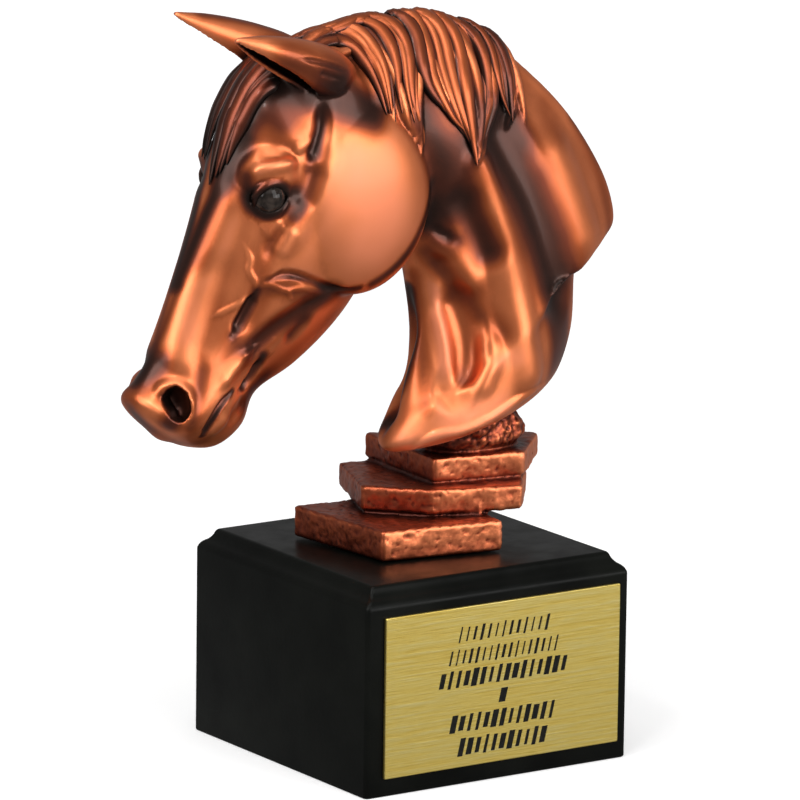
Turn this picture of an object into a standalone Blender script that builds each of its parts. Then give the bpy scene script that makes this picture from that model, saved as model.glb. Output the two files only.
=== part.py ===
"""Horse-head trophy on stacked slabs and a square plinth with a nameplate. Metres, Z up, rests on its underside."""

import math

import bmesh
import bpy
import numpy as np
from mathutils import Matrix, Vector, noise
from mathutils.bvhtree import BVHTree

# Driving dimensions, in metres

PLINTH_SIDE = 0.080
PLINTH_HEIGHT = 0.0538
PLINTH_CORNER = 0.0012
MOULDING_HEIGHT = 0.0056
MOULDING_INSET = 0.0042

PLATE_WIDTH = 0.0716
PLATE_HEIGHT = 0.0415
PLATE_THICKNESS = 0.0008
PLATE_CORNER = 0.0003
PLATE_MID_X = 0.0008
PLATE_MID_Z = 0.0256
PLATE_GAP = 0.0003
STROKE_DEPTH = 0.0002
STROKE_LEAN = 0.24

SEAT_GAP = 0.0003
FIGURE_HEIGHT = 0.1403
FIGURE_TRIANGLES = 8000

# Moulding round the top of the plinth: inset and height as shares of its own two sizes

MOULDING = [(0.03, 0.16), (0.12, 0.28), (0.26, 0.40), (0.50, 0.51), (0.69, 0.66), (0.81, 0.85), (1.0, 1.0)]

# Rows of strokes on the plate: mid height, width, stroke count, stroke width and height, as shares of the plate

STROKE_ROWS = [
    (0.83, 0.37, 14, 0.009, 0.095),
    (0.69, 0.45, 20, 0.009, 0.095),
    (0.565, 0.52, 18, 0.017, 0.105),
    (0.415, 0.03, 1, 0.022, 0.105),
    (0.275, 0.42, 14, 0.017, 0.105),
    (0.125, 0.35, 12, 0.017, 0.105),
]

# The figure is drawn on a grid on which it stands 140.3 tall: x toward the tail, z above its seat.

GRID_HEIGHT = 140.3
UNIT = FIGURE_HEIGHT / GRID_HEIGHT
FIGURE_SEAT = PLINTH_HEIGHT + SEAT_GAP
VOXEL = 0.75

# Head stations, muzzle to poll: top x, top z, under x, under z, half widths at four levels from top to under

HEAD = [
    (-84.6, 43.9, -76.5, 35.8, 3.5, 5.5, 5.5, 3.5),
    (-85.9, 47.0, -70.0, 32.6, 7.0, 10.5, 9.5, 6.5),
    (-83.2, 50.2, -60.8, 31.6, 7.6, 12.0, 10.5, 7.0),
    (-79.4, 55.6, -52.8, 36.2, 7.4, 11.6, 10.8, 6.6),
    (-76.0, 63.8, -48.8, 44.2, 7.2, 10.2, 9.8, 6.2),
    (-71.8, 74.6, -37.5, 50.0, 8.0, 11.0, 10.2, 6.4),
    (-67.4, 85.6, -27.0, 58.0, 9.4, 13.4, 12.4, 8.0),
    (-63.4, 96.4, -19.5, 67.0, 11.6, 15.0, 14.0, 10.5),
    (-60.4, 106.0, -14.0, 78.0, 13.0, 15.0, 14.6, 11.5),
    (-56.6, 116.0, -11.0, 90.0, 11.6, 14.4, 15.0, 12.0),
    (-50.0, 126.0, -11.0, 103.0, 11.0, 13.4, 14.0, 12.0),
    (-40.0, 131.6, -14.0, 115.0, 9.0, 11.0, 11.0, 9.0),
    (-31.0, 132.0, -17.0, 123.0, 4.0, 5.0, 5.0, 4.0),
]

# Neck stations, poll to hem: front x, front z, back x, back z, half widths at four levels from front to back

NECK = [
    (-30.0, 108.0, -34.0, 130.0, 5.0, 7.0, 6.0, 4.0),
    (-20.0, 96.0, -18.0, 134.5, 8.0, 12.0, 10.5, 5.5),
    (-9.0, 84.0, 2.0, 134.5, 8.5, 12.5, 11.0, 5.5),
    (-4.0, 74.0, 19.5, 129.0, 8.5, 12.5, 11.0, 5.5),
    (-2.0, 65.0, 34.0, 118.6, 8.5, 12.5, 11.5, 5.5),
    (-1.4, 57.5, 46.5, 106.6, 8.5, 13.0, 12.0, 6.0),
    (-2.4, 49.5, 57.0, 91.5, 8.8, 13.5, 12.5, 6.5),
    (-4.0, 42.0, 61.0, 80.5, 9.6, 14.0, 13.0, 7.5),
    (-6.0, 36.5, 59.2, 69.8, 10.6, 14.2, 13.5, 8.5),
    (-8.0, 32.5, 49.8, 64.4, 11.2, 14.4, 13.8, 9.5),
    (-9.8, 29.5, 48.8, 49.5, 11.6, 14.4, 13.8, 10.0),
    (-10.8, 26.8, 41.5, 35.0, 11.6, 13.8, 13.0, 9.0),
    (-9.5, 24.2, 36.0, 32.6, 9.0, 11.0, 10.0, 6.0),
]
NECK_SWAY = 2.2

# Cheek discs: middle, and half sizes along x, y and z

CHEEK = (-24.8, 9.2, 92.6, 22.0, 8.8, 24.6)
EYE = (-53.0, 11.9, 96.6, 3.6)
ORBIT = (-50.0, 8.6, 101.5, 8.5, 6.6, 7.5)

# Ear stations, base to tip: x, y, z of the middle, half width, half height

EAR = [
    (-30.0, 9.0, 123.0, 5.0, 6.0),
    (-37.0, 10.5, 127.0, 6.0, 6.6),
    (-44.0, 12.0, 130.0, 6.0, 5.6),
    (-51.0, 13.0, 132.6, 5.2, 4.2),
    (-57.5, 13.8, 135.6, 3.4, 2.7),
    (-61.5, 14.2, 138.2, 1.6, 1.4),
    (-64.0, 14.2, 140.7, 0.6, 0.6),
]

# Locks of the mane and the forelock, root to tip over the near side: points, thickness, and whether the far side has it

LOCKS = [
    ([(-45, -3, 133), (-37, -9, 134), (-28, -8, 134), (-21, -9, 130), (-18, -11, 122), (-15, -13, 112)], 1.9, True),
    ([(-34, -1, 134), (-25, -5, 136), (-17, -7, 132), (-14, -10, 124), (-12, -12, 113), (-10, -13, 108)], 2.3, False),
    ([(-28, 1, 134), (-19, -2, 137), (-12, -5, 134), (-10, -9, 125), (-10, -12, 116), (-9, -13, 106)], 2.4, True),
    ([(-23, 1, 135), (-13, -1, 137), (-7, -4, 133), (-6, -8, 125), (-8, -12, 115), (-7, -14, 103)], 2.5, False),
    ([(-15, 1, 136), (-8, -1, 137), (-3, -4, 133), (-1, -7, 125), (1, -10, 117), (8, -12, 105)], 2.3, True),
    ([(-8, 1, 137), (0, -2, 136), (5, -5, 129), (8, -9, 117), (9, -12, 107), (10, -13, 101)], 2.5, False),
    ([(-3, 0, 137), (6, -1, 135), (11, -4, 126), (12, -8, 115), (11, -11, 106), (9, -13, 98)], 2.6, True),
    ([(3, 0, 137), (12, -1, 133), (17, -4, 123), (17, -7, 114), (14, -10, 106), (10, -12, 99)], 2.5, True),
    ([(7, 0, 137), (17, -1, 132), (23, -3, 122), (24, -6, 112), (22, -9, 106)], 2.4, False),
    ([(12, 0, 135), (22, -1, 128), (27, -3, 119), (28, -7, 107)], 2.4, True),
    ([(-43, -1, 131), (-51, -3, 125), (-56, -4, 117), (-59, -4, 109), (-60, -3, 103)], 2.2, True),
    ([(-43, 1, 131), (-52, 0, 125), (-57, 0, 117), (-60, -1, 108), (-62, -1, 99)], 2.2, False),
]

# Strokes of the carving on the near side, given to both: points, reach and height, hollow where it is negative

CARVING = [
    ([(-39, -12, 121), (-37.5, -14, 114), (-39.5, -15, 109), (-43, -15, 104), (-45, -15, 99)], 4.5, -2.6),
    ([(-49, -11, 116), (-48, -12, 110)], 8.0, 1.6),
    ([(-59, -11, 103), (-54, -13, 104.5), (-49, -14, 104.5), (-45, -15, 103)], 3.4, 2.0),
    ([(-58, -12, 94), (-52, -15, 91), (-47, -16, 96)], 3.0, -1.6),
    ([(-45, -16, 91), (-49, -15, 84), (-53, -13, 77)], 4.0, 1.4),
    ([(-55, -13, 87), (-57, -12, 78), (-60, -11, 70)], 5.0, -1.5),
    ([(-60, -8, 90), (-66, -7, 74), (-71, -7, 60)], 5.0, 0.9),
    ([(-55, -11, 71), (-60, -10, 62)], 2.6, -2.0),
    ([(-36, -11, 72), (-42, -10, 65), (-48, -9, 58)], 4.0, -2.6),
    ([(-69, -9, 57), (-72, -10, 48), (-74, -10, 39)], 2.6, -1.5),
    ([(-55, -9, 54), (-60, -10, 46), (-65, -9, 38), (-67, -5, 33), (-68, 0, 31)], 2.6, -2.0),
    ([(-53, -9, 58), (-55, -9, 51), (-57, -8, 47)], 2.2, -1.2),
    ([(-76, -10, 51), (-82, -9, 50), (-84, -8, 45), (-81, -9, 40), (-76, -10, 38), (-73, -10, 42)], 2.4, 1.0),
    ([(-78, -9, 45), (-80, -9, 44)], 5.4, -4.6),
    ([(-57, -17, 133), (-50, -18, 129.5), (-44, -18, 127)], 4.2, -4.0),
    ([(-2, -6, 66), (-1.5, -6, 53), (-4, -5, 40)], 3.2, -1.4),
    ([(2, -9, 65), (4, -11, 52), (2, -14, 38)], 4.0, 1.2),
    ([(6, -12, 63), (9, -14, 55), (9, -15, 48), (6, -16, 40)], 4.6, -3.2),
    ([(12, -13, 57), (14, -15, 48), (11, -16, 39)], 3.0, 1.2),
    ([(14, -12, 104), (19, -13, 86), (23, -14, 65), (27, -16, 44)], 7.0, 1.8),
    ([(14, -10, 112), (25, -11, 97), (33, -12, 79), (38, -13, 62)], 8.0, -3.0),
    ([(38, -4, 107), (49, -6, 87), (52, -8, 72)], 6.0, 0.8),
    ([(0, -12, 100), (3, -10, 80), (8, -9, 68)], 7.0, -2.0),
    ([(4, -14, 25), (14, -15, 26)], 5.0, -2.6),
]
FRONT_FURROW = ([(-4, -2, 44), (-8, -2, 34), (-11, -2, 26)], 5.0, -5.0)

# Slabs of the rockery: z of the underside, z of the top, then the corners in plan

SLABS = [
    (0.0, 8.0, [(-24.4, 18.0), (-20.6, -17.6), (12.6, -22.8), (16.6, 13.6)]),
    (8.9, 15.3, [(-14.5, 1.5), (-2.2, -11.8), (21.3, -18.7), (32.0, -5.0), (24.0, 22.0), (-4.6, 27.0)]),
    (16.0, 22.3, [(1.6, -7.4), (26.4, -12.4), (42.0, 4.2), (30.0, 24.0), (3.0, 26.6)]),
]
SLAB_ROUNDING = 0.7

# Narrower mortar between the slabs, reaching a little into both

SEAMS = [
    (5.5, 11.5, [(-12.0, 2.0), (-1.0, -10.0), (11.0, -16.0), (13.5, 11.0), (-3.0, 14.0)]),
    (12.8, 18.5, [(4.0, -5.0), (20.0, -10.0), (28.0, -3.0), (22.0, 19.0), (5.0, 22.0)]),
]
ROCK = (18.0, 0.5, 27.0, 15.0, 10.0, 9.0)


def clear_scene():
    for obj in list(bpy.data.objects):
        bpy.data.objects.remove(obj, do_unlink=True)


def new_collection(name):
    made = bpy.data.collections.new(name)
    bpy.context.scene.collection.children.link(made)
    return made


def object_of(name, mesh, collection):
    obj = bpy.data.objects.new(name, mesh)
    collection.objects.link(obj)
    if collection.hide_render:
        obj.hide_render = True
        obj.display_type = "WIRE"
    return obj


def mesh_of(bm, name):
    bmesh.ops.recalc_face_normals(bm, faces=bm.faces)
    mesh = bpy.data.meshes.new(name)
    bm.to_mesh(mesh)
    bm.free()
    return mesh


def evaluated_mesh(obj):
    """A plain mesh of the object with its modifiers worked out."""
    graph = bpy.context.evaluated_depsgraph_get()
    return bpy.data.meshes.new_from_object(obj.evaluated_get(graph), depsgraph=graph)


def paint(obj, name, colour, metallic, roughness):
    material = bpy.data.materials.new(name)
    material.use_nodes = True
    shader = material.node_tree.nodes["Principled BSDF"]
    shader.inputs["Base Color"].default_value = (*colour, 1.0)
    shader.inputs["Metallic"].default_value = metallic
    shader.inputs["Roughness"].default_value = roughness
    obj.data.materials.clear()
    obj.data.materials.append(material)


def smooth_run(points, steps):
    """A smooth run through the points, with the given number of steps between neighbours."""
    points = np.array(points, dtype=float)
    padded = np.vstack([2 * points[0] - points[1], points, 2 * points[-1] - points[-2]])
    out = []
    for i in range(len(points) - 1):
        p0, p1, p2, p3 = padded[i:i + 4]
        for k in range(steps):
            t = k / steps
            line = 2 * p1 + (p2 - p0) * t
            bend = (2 * p0 - 5 * p1 + 4 * p2 - p3) * t * t
            twist = (3 * p1 - p0 - 3 * p2 + p3) * t ** 3
            out.append((line + bend + twist) / 2)
    out.append(points[-1])
    return np.array(out)


def skin_rings(name, rings, collection):
    """A closed body over rings of points that all have the same count."""
    bm = bmesh.new()
    made = [[bm.verts.new(place) for place in ring] for ring in rings]
    for a, b in zip(made, made[1:]):
        for k in range(len(a)):
            n = (k + 1) % len(a)
            bm.faces.new((a[k], a[n], b[n], b[k]))
    bm.faces.new(made[0])
    bm.faces.new(made[-1][::-1])
    return object_of(name, mesh_of(bm, name), collection)


def two_rail_body(name, stations, collection, steps=4, count=12, squareness=2.4):
    """A body whose sections span two rails in the plane of symmetry, with a half width at four levels."""
    levels = [(1 - math.cos(math.pi * k / count)) / 2 for k in range(count + 1)]
    rings = []
    for row in smooth_run(stations, steps):
        ring = []
        for side, order in ((1, levels), (-1, levels[-2:0:-1])):
            for level in order:
                width = np.interp(level, [0.08, 0.36, 0.64, 0.92], row[4:8])
                rounding = max(0.0, 1 - abs(2 * level - 1) ** squareness) ** (1 / squareness)
                x = row[0] + (row[2] - row[0]) * level
                z = row[1] + (row[3] - row[1]) * level
                ring.append((x, side * width * rounding, z))
        rings.append(ring)
    return skin_rings(name, rings, collection)


def ball(name, middle, half_sizes, collection):
    bm = bmesh.new()
    bmesh.ops.create_icosphere(bm, subdivisions=4, radius=1.0)
    bmesh.ops.scale(bm, verts=bm.verts, vec=half_sizes)
    bmesh.ops.translate(bm, verts=bm.verts, vec=middle)
    return object_of(name, mesh_of(bm, name), collection)


def ear(name, side, collection):
    """A leaf-shaped ear along its own middle line."""
    rings = []
    for x, y, z, wide, high in smooth_run(EAR, 4):
        ring = []
        for k in range(16):
            turn = 2 * math.pi * k / 16
            ring.append((x, side * (y + wide * math.cos(turn)), z + high * math.sin(turn)))
        rings.append(ring)
    return skin_rings(name, rings, collection)


def slab(name, bottom, top, corners, collection):
    """A stone slab: its outline in plan, drawn up to its thickness, with rounded edges."""
    bm = bmesh.new()
    face = bm.faces.new([bm.verts.new((x, y, bottom)) for x, y in corners])
    grown = bmesh.ops.extrude_face_region(bm, geom=[face])
    raised = [v for v in grown["geom"] if isinstance(v, bmesh.types.BMVert)]
    bmesh.ops.translate(bm, verts=raised, vec=(0, 0, top - bottom))
    obj = object_of(name, mesh_of(bm, name), collection)
    bevel = obj.modifiers.new("rounding", "BEVEL")
    bevel.width = SLAB_ROUNDING
    bevel.segments = 2
    return obj


def join_parts(name, parts, collection):
    """One mesh that holds every part, each with its own modifiers worked out."""
    bm = bmesh.new()
    for part in parts:
        mesh = evaluated_mesh(part)
        bm.from_mesh(mesh)
        bpy.data.meshes.remove(mesh)
    mesh = bpy.data.meshes.new(name)
    bm.to_mesh(mesh)
    bm.free()
    return object_of(name, mesh, collection)


def fuse(obj, voxel, smooths):
    """One skin round everything in the object."""
    remesh = obj.modifiers.new("fuse", "REMESH")
    remesh.mode = "VOXEL"
    remesh.voxel_size = voxel
    soften = obj.modifiers.new("soften", "SMOOTH")
    soften.iterations = smooths
    soften.factor = 0.5
    mesh = evaluated_mesh(obj)
    obj.modifiers.clear()
    obj.data = mesh
    return obj


def roughen(obj, size, height):
    """Uneven stone: every point moves along its normal by a smooth pattern."""
    mesh = obj.data
    for vertex in mesh.vertices:
        vertex.co += vertex.normal * height * noise.noise(vertex.co / size)


def rockery(collection):
    made = []
    for i, (bottom, top, corners) in enumerate(SLABS):
        made.append(slab("slab_%d" % i, bottom, top, corners, collection))
    for i, (bottom, top, corners) in enumerate(SEAMS):
        made.append(slab("seam_%d" % i, bottom, top, corners, collection))
    made.append(ball("rock", ROCK[:3], ROCK[3:], collection))
    return made


def sway(obj):
    """The foot of the neck stands a little to its left of the head's plane."""
    for vertex in obj.data.vertices:
        x, y, z = vertex.co
        share = min(1.0, max(0.0, (68.0 - z) / 40.0))
        vertex.co.y = y - NECK_SWAY * share * share * (3 - 2 * share)


def lock(name, points, thickness, tree, side, collection):
    """A lock of hair: a tapered cord that follows the body under it."""
    run = smooth_run(points, 4)
    curve = bpy.data.curves.new(name, "CURVE")
    curve.dimensions = "3D"
    curve.bevel_depth = thickness
    curve.bevel_resolution = 2
    curve.use_fill_caps = True
    spline = curve.splines.new("POLY")
    spline.points.add(len(run) - 1)
    for i, (x, y, z) in enumerate(run):
        near, normal, _, _ = tree.find_nearest(Vector((x, side * y, z)))
        place = near + normal * thickness * 0.35
        share = i / (len(run) - 1)
        spline.points[i].co = (place.x, place.y, place.z, 1.0)
        spline.points[i].radius = 0.15 + 0.85 * math.sin(math.pi * (0.22 + 0.78 * share) ** 1.1) ** 0.7
    return object_of(name, curve, collection)


def distance_to_run(places, run):
    """How far each place is from a run of straight pieces."""
    best = np.full(len(places), 1e9)
    for a, b in zip(run, run[1:]):
        span = b - a
        share = np.clip(((places - a) @ span) / (span @ span), 0, 1)
        best = np.minimum(best, np.linalg.norm(places - a - share[:, None] * span, axis=1))
    return best


def carve(mesh, stroke, sides=(1, -1)):
    """One stroke of the carving tool, in or out along the surface's own normals."""
    points, reach, height = stroke
    count = len(mesh.vertices)
    places = np.empty(count * 3)
    mesh.vertices.foreach_get("co", places)
    places = places.reshape(-1, 3)
    normals = np.empty(count * 3)
    mesh.vertices.foreach_get("normal", normals)
    normals = normals.reshape(-1, 3)
    for side in sides:
        run = smooth_run(points, 4) * np.array([1, side, 1])
        share = np.clip(distance_to_run(places, run) / reach, 0, 1)
        places = places + normals * ((1 - share ** 2) ** 2 * height)[:, None]
    mesh.vertices.foreach_set("co", places.ravel())
    mesh.update()


def largest_piece(mesh):
    """Keeps the biggest connected piece of the mesh."""
    bm = bmesh.new()
    bm.from_mesh(mesh)
    bm.verts.ensure_lookup_table()
    seen = set()
    pieces = []
    for start in bm.verts:
        if start in seen:
            continue
        seen.add(start)
        piece = [start]
        for vertex in piece:
            for edge in vertex.link_edges:
                other = edge.other_vert(vertex)
                if other not in seen:
                    seen.add(other)
                    piece.append(other)
        pieces.append(piece)
    pieces.sort(key=len)
    for piece in pieces[:-1]:
        bmesh.ops.delete(bm, geom=piece, context="VERTS")
    bm.to_mesh(mesh)
    bm.free()


def horse_bust(parts, helpers):
    """Head, neck, hair and rockery fused to one cast body, then thinned to the wanted count of triangles."""
    neck = two_rail_body("neck", NECK, helpers)
    sway(neck)
    body = [two_rail_body("head", HEAD, helpers), neck]
    for side in (1, -1):
        body.append(ball("cheek", (CHEEK[0], side * CHEEK[1], CHEEK[2]), CHEEK[3:], helpers))
        body.append(ball("orbit", (ORBIT[0], side * ORBIT[1], ORBIT[2]), ORBIT[3:], helpers))
        body.append(ear("ear", side, helpers))
    flesh = fuse(join_parts("flesh", body, helpers), VOXEL, 5)
    for stroke in CARVING:
        carve(flesh.data, stroke)
    carve(flesh.data, FRONT_FURROW, (1,))
    tree = BVHTree.FromPolygons([v.co for v in flesh.data.vertices], [p.vertices for p in flesh.data.polygons])
    whole = [flesh] + rockery(helpers)
    for points, thickness, both in LOCKS:
        for side in (1, -1) if both else (1,):
            whole.append(lock("lock", points, thickness, tree, side, helpers))
    for side in (1, -1):
        whole.append(ball("eye", (EYE[0], side * EYE[1], EYE[2]), (EYE[3], EYE[3], EYE[3]), helpers))
    fused = fuse(join_parts("fused", whole, helpers), VOXEL, 1)
    largest_piece(fused.data)
    fused.data.calc_loop_triangles()
    thin = fused.modifiers.new("thin", "DECIMATE")
    thin.ratio = FIGURE_TRIANGLES / len(fused.data.loop_triangles)
    thin.use_collapse_triangulate = True
    bust = object_of("horse_bust", evaluated_mesh(fused), parts)
    fused.modifiers.clear()
    bust.data.transform(Matrix.Translation((0, 0, FIGURE_SEAT)) @ Matrix.Scale(UNIT, 4))
    return bust


def rounded_outline(width, depth, radius, steps):
    """Corner-rounded rectangle round the origin, counterclockwise."""
    places = []
    for k, (sx, sy) in enumerate(((1, 1), (-1, 1), (-1, -1), (1, -1))):
        for i in range(steps + 1):
            turn = math.pi / 2 * (k + i / steps)
            x = sx * (width / 2 - radius) + radius * math.cos(turn)
            y = sy * (depth / 2 - radius) + radius * math.sin(turn)
            places.append((x, y, 0.0))
    return places


def grow_up(bm, face, rise, share):
    """Draws the face up by a rise and shrinks it to a share of its size. Returns the new face."""
    lone = len(bm.faces) == 1
    grown = bmesh.ops.extrude_face_region(bm, geom=[face])["geom"]
    raised = [v for v in grown if isinstance(v, bmesh.types.BMVert)]
    bmesh.ops.translate(bm, verts=raised, vec=(0, 0, rise))
    bmesh.ops.scale(bm, verts=raised, vec=(share, share, 1.0))
    if not lone and face.is_valid:
        bmesh.ops.delete(bm, geom=[face], context="FACES_ONLY")
    return [f for f in grown if isinstance(f, bmesh.types.BMFace)][0]


def plinth(parts):
    """Square block with a rounded foot edge and a hollow moulding round its top."""
    bm = bmesh.new()
    outline = rounded_outline(PLINTH_SIDE, PLINTH_SIDE, PLINTH_CORNER, 4)
    face = bm.faces.new([bm.verts.new(place) for place in outline])
    face = grow_up(bm, face, PLINTH_HEIGHT - MOULDING_HEIGHT, 1.0)
    size, height = 1.0, 0.0
    for inset, rise in MOULDING:
        new_size = 1 - 2 * inset * MOULDING_INSET / PLINTH_SIDE
        face = grow_up(bm, face, (rise - height) * MOULDING_HEIGHT, new_size / size)
        size, height = new_size, rise
    return object_of("plinth", mesh_of(bm, "plinth"), parts)


def nameplate(parts, helpers):
    """Thin plate on the front of the plinth, with rows of shallow leaning strokes."""
    bm = bmesh.new()
    outline = rounded_outline(PLATE_WIDTH, PLATE_HEIGHT, PLATE_CORNER, 2)
    face = bm.faces.new([bm.verts.new(place) for place in outline])
    grow_up(bm, face, PLATE_THICKNESS, 1.0)
    plate = object_of("nameplate", mesh_of(bm, "nameplate"), parts)
    cut = bmesh.new()
    for middle, width, count, thick, tall in STROKE_ROWS:
        for k in range(count):
            along = 0.5 if count == 1 else k / (count - 1)
            x = (along - 0.5) * width * PLATE_WIDTH
            y = (middle - 0.5) * PLATE_HEIGHT
            height = tall * PLATE_HEIGHT * (0.78 + 0.22 * math.sin(2.1 * k + 9 * middle))
            made = bmesh.ops.create_cube(cut, size=1.0)["verts"]
            bmesh.ops.scale(cut, verts=made, vec=(thick * PLATE_WIDTH, height, 2 * STROKE_DEPTH))
            for vertex in made:
                vertex.co.x += vertex.co.y * STROKE_LEAN
            bmesh.ops.translate(cut, verts=made, vec=(x, y, PLATE_THICKNESS))
    cutter = object_of("strokes", mesh_of(cut, "strokes"), helpers)
    boolean = plate.modifiers.new("strokes", "BOOLEAN")
    boolean.operation = "DIFFERENCE"
    boolean.solver = "EXACT"
    boolean.object = cutter
    plate.data = evaluated_mesh(plate)
    plate.modifiers.clear()
    upright = Matrix.Rotation(math.pi / 2, 4, "X")
    back = -PLINTH_SIDE / 2 - PLATE_GAP
    plate.data.transform(Matrix.Translation((PLATE_MID_X, back, PLATE_MID_Z)) @ upright)
    return plate


def main():
    clear_scene()
    parts = new_collection("horse_trophy")
    helpers = new_collection("helpers")
    helpers.hide_render = True
    bust = horse_bust(parts, helpers)
    base = plinth(parts)
    plate = nameplate(parts, helpers)
    paint(bust, "copper_casting", (0.60, 0.27, 0.14), 0.85, 0.38)
    paint(base, "black_lacquer", (0.012, 0.012, 0.013), 0.0, 0.32)
    paint(plate, "gold_plate", (0.72, 0.58, 0.24), 1.0, 0.35)


main()
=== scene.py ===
import math
import random

import bmesh
import bpy
import numpy as np
from bpy.props import FloatProperty, IntProperty, PointerProperty
from bpy.types import Operator, Panel, PropertyGroup
from mathutils import Matrix, Vector, noise
from mathutils.bvhtree import BVHTree


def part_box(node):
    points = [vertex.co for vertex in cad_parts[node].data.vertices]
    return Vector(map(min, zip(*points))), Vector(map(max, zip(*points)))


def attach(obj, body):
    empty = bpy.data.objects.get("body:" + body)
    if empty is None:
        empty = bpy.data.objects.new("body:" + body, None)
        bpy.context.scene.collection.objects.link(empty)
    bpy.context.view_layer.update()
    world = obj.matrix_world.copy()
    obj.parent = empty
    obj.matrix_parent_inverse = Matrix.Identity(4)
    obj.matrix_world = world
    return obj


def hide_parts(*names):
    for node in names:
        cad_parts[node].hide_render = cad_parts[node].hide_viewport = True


bl_info = {
    "name": "Horse Head Trophy",
    "version": (1, 0, 0),
    "blender": (4, 5, 0),
    "location": "View3D > Sidebar > Trophy",
    "description": "Dresses a horse-head trophy: cast bust, mane, rockery, plinth, plate and a plain stage",
    "category": "Object",
}

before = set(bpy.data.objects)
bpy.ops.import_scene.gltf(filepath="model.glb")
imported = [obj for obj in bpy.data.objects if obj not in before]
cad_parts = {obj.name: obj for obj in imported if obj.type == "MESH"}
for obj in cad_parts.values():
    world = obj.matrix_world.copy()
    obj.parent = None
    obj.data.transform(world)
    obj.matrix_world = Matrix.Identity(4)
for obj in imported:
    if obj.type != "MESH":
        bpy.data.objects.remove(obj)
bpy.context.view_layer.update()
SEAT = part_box("horse_bust")[0].z
PLINTH_LOW, PLINTH_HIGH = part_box("plinth")
PLATE_LOW, PLATE_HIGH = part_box("nameplate")

# The figure is drawn on a grid on which it stands 140.3 tall: x runs toward the tail, y away from the near
# side and z up from its seat.

GRID_HEIGHT = 140.3

# Head stations, muzzle to poll: top x, top z, under x, under z, half widths at four levels downward

HEAD = [
    (-84.6, 43.9, -76.5, 35.8, 3.5, 5.5, 5.5, 3.5),
    (-85.9, 47.0, -70.0, 32.6, 7.0, 10.5, 9.5, 6.5),
    (-83.2, 50.2, -60.8, 31.6, 7.6, 12.0, 10.5, 7.0),
    (-79.4, 55.6, -52.8, 36.2, 7.4, 11.6, 10.8, 6.6),
    (-76.0, 63.8, -48.8, 44.2, 7.2, 10.2, 9.8, 6.2),
    (-71.8, 74.6, -37.5, 50.0, 8.0, 11.0, 10.2, 6.4),
    (-67.4, 85.6, -27.0, 58.0, 9.4, 13.4, 12.4, 8.0),
    (-63.4, 96.4, -19.5, 67.0, 11.6, 15.0, 14.0, 10.5),
    (-60.4, 106.0, -14.0, 78.0, 13.0, 15.0, 14.6, 11.5),
    (-56.6, 116.0, -11.0, 90.0, 11.6, 14.4, 15.0, 12.0),
    (-50.0, 126.0, -11.0, 103.0, 11.0, 13.4, 14.0, 12.0),
    (-40.0, 131.6, -14.0, 115.0, 9.0, 11.0, 11.0, 9.0),
    (-31.0, 132.0, -17.0, 123.0, 4.0, 5.0, 5.0, 4.0),
]

# Neck stations, poll to hem: front x, front z, back x, back z, half widths at four levels backward

NECK = [
    (-30.0, 108.0, -34.0, 130.0, 5.0, 7.0, 6.0, 4.0),
    (-20.0, 96.0, -18.0, 134.5, 8.0, 12.0, 10.5, 5.5),
    (-9.0, 84.0, 2.0, 134.5, 8.5, 12.5, 11.0, 5.5),
    (-4.0, 74.0, 19.5, 129.0, 8.5, 12.5, 11.0, 5.5),
    (-2.0, 65.0, 34.0, 118.6, 8.5, 12.5, 11.5, 5.5),
    (-1.4, 57.5, 46.5, 106.6, 8.5, 13.0, 12.0, 6.0),
    (-2.4, 49.5, 57.0, 91.5, 8.8, 13.5, 12.5, 6.5),
    (-4.0, 42.0, 61.0, 80.5, 9.6, 14.0, 13.0, 7.5),
    (-6.0, 36.5, 59.8, 74.9, 10.6, 14.2, 13.5, 8.5),
    (-7.2, 34.0, 53.6, 72.6, 11.0, 14.3, 13.8, 9.0),
    (-8.0, 32.5, 49.0, 68.8, 11.2, 14.4, 13.8, 9.0),
    (-9.8, 29.5, 47.4, 52.0, 11.6, 14.4, 13.8, 9.0),
    (-10.8, 26.8, 42.0, 39.8, 11.6, 14.0, 13.0, 8.4),
    (-9.5, 24.2, 35.0, 35.6, 9.0, 11.5, 10.5, 6.0),
]

# Sideways shift of the neck's foot: how far, the height it starts below, the height over which it grows

NECK_SWAY = (2.2, 68.0, 40.0)

# Cheek and eye orbit as middle and half sizes, the eyeball as middle and radius

CHEEK = (-24.8, 9.2, 92.6, 22.0, 8.8, 24.6)
EYE = (-52.0, 11.2, 96.2, 4.3)
ORBIT = (-50.0, 8.6, 101.5, 8.5, 6.6, 7.5)

# Ear stations, base to tip: x, y, z of the middle, half width, half depth, wall, and the half angle of the
# opening in degrees

EAR = [
    (-22.5, 5.0, 118.5, 3.2, 3.6, 3.0, 8),
    (-28.0, 8.0, 121.8, 5.4, 5.8, 3.0, 8),
    (-35.0, 10.0, 126.0, 6.4, 6.6, 2.2, 14),
    (-42.0, 11.6, 129.4, 6.4, 6.0, 1.9, 44),
    (-49.0, 12.8, 132.4, 5.6, 5.0, 1.7, 62),
    (-55.5, 13.7, 135.2, 4.2, 3.6, 1.5, 72),
    (-60.5, 14.2, 137.4, 2.3, 2.1, 1.2, 76),
    (-64.0, 14.3, 139.2, 0.7, 0.8, 0.6, 60),
]
EAR_FACES = (-0.5, -0.28, -0.83)
EAR_STEPS = 22
EAR_CUP = slice(12, -6)

# The near ear is carried lower and held more closed than the far one: drop of its tip, share of the opening

NEAR_EAR = (2.4, 0.55)

# Locks under the strands, root to tip down the near side: points, thickness, does the far side have it too

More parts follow.
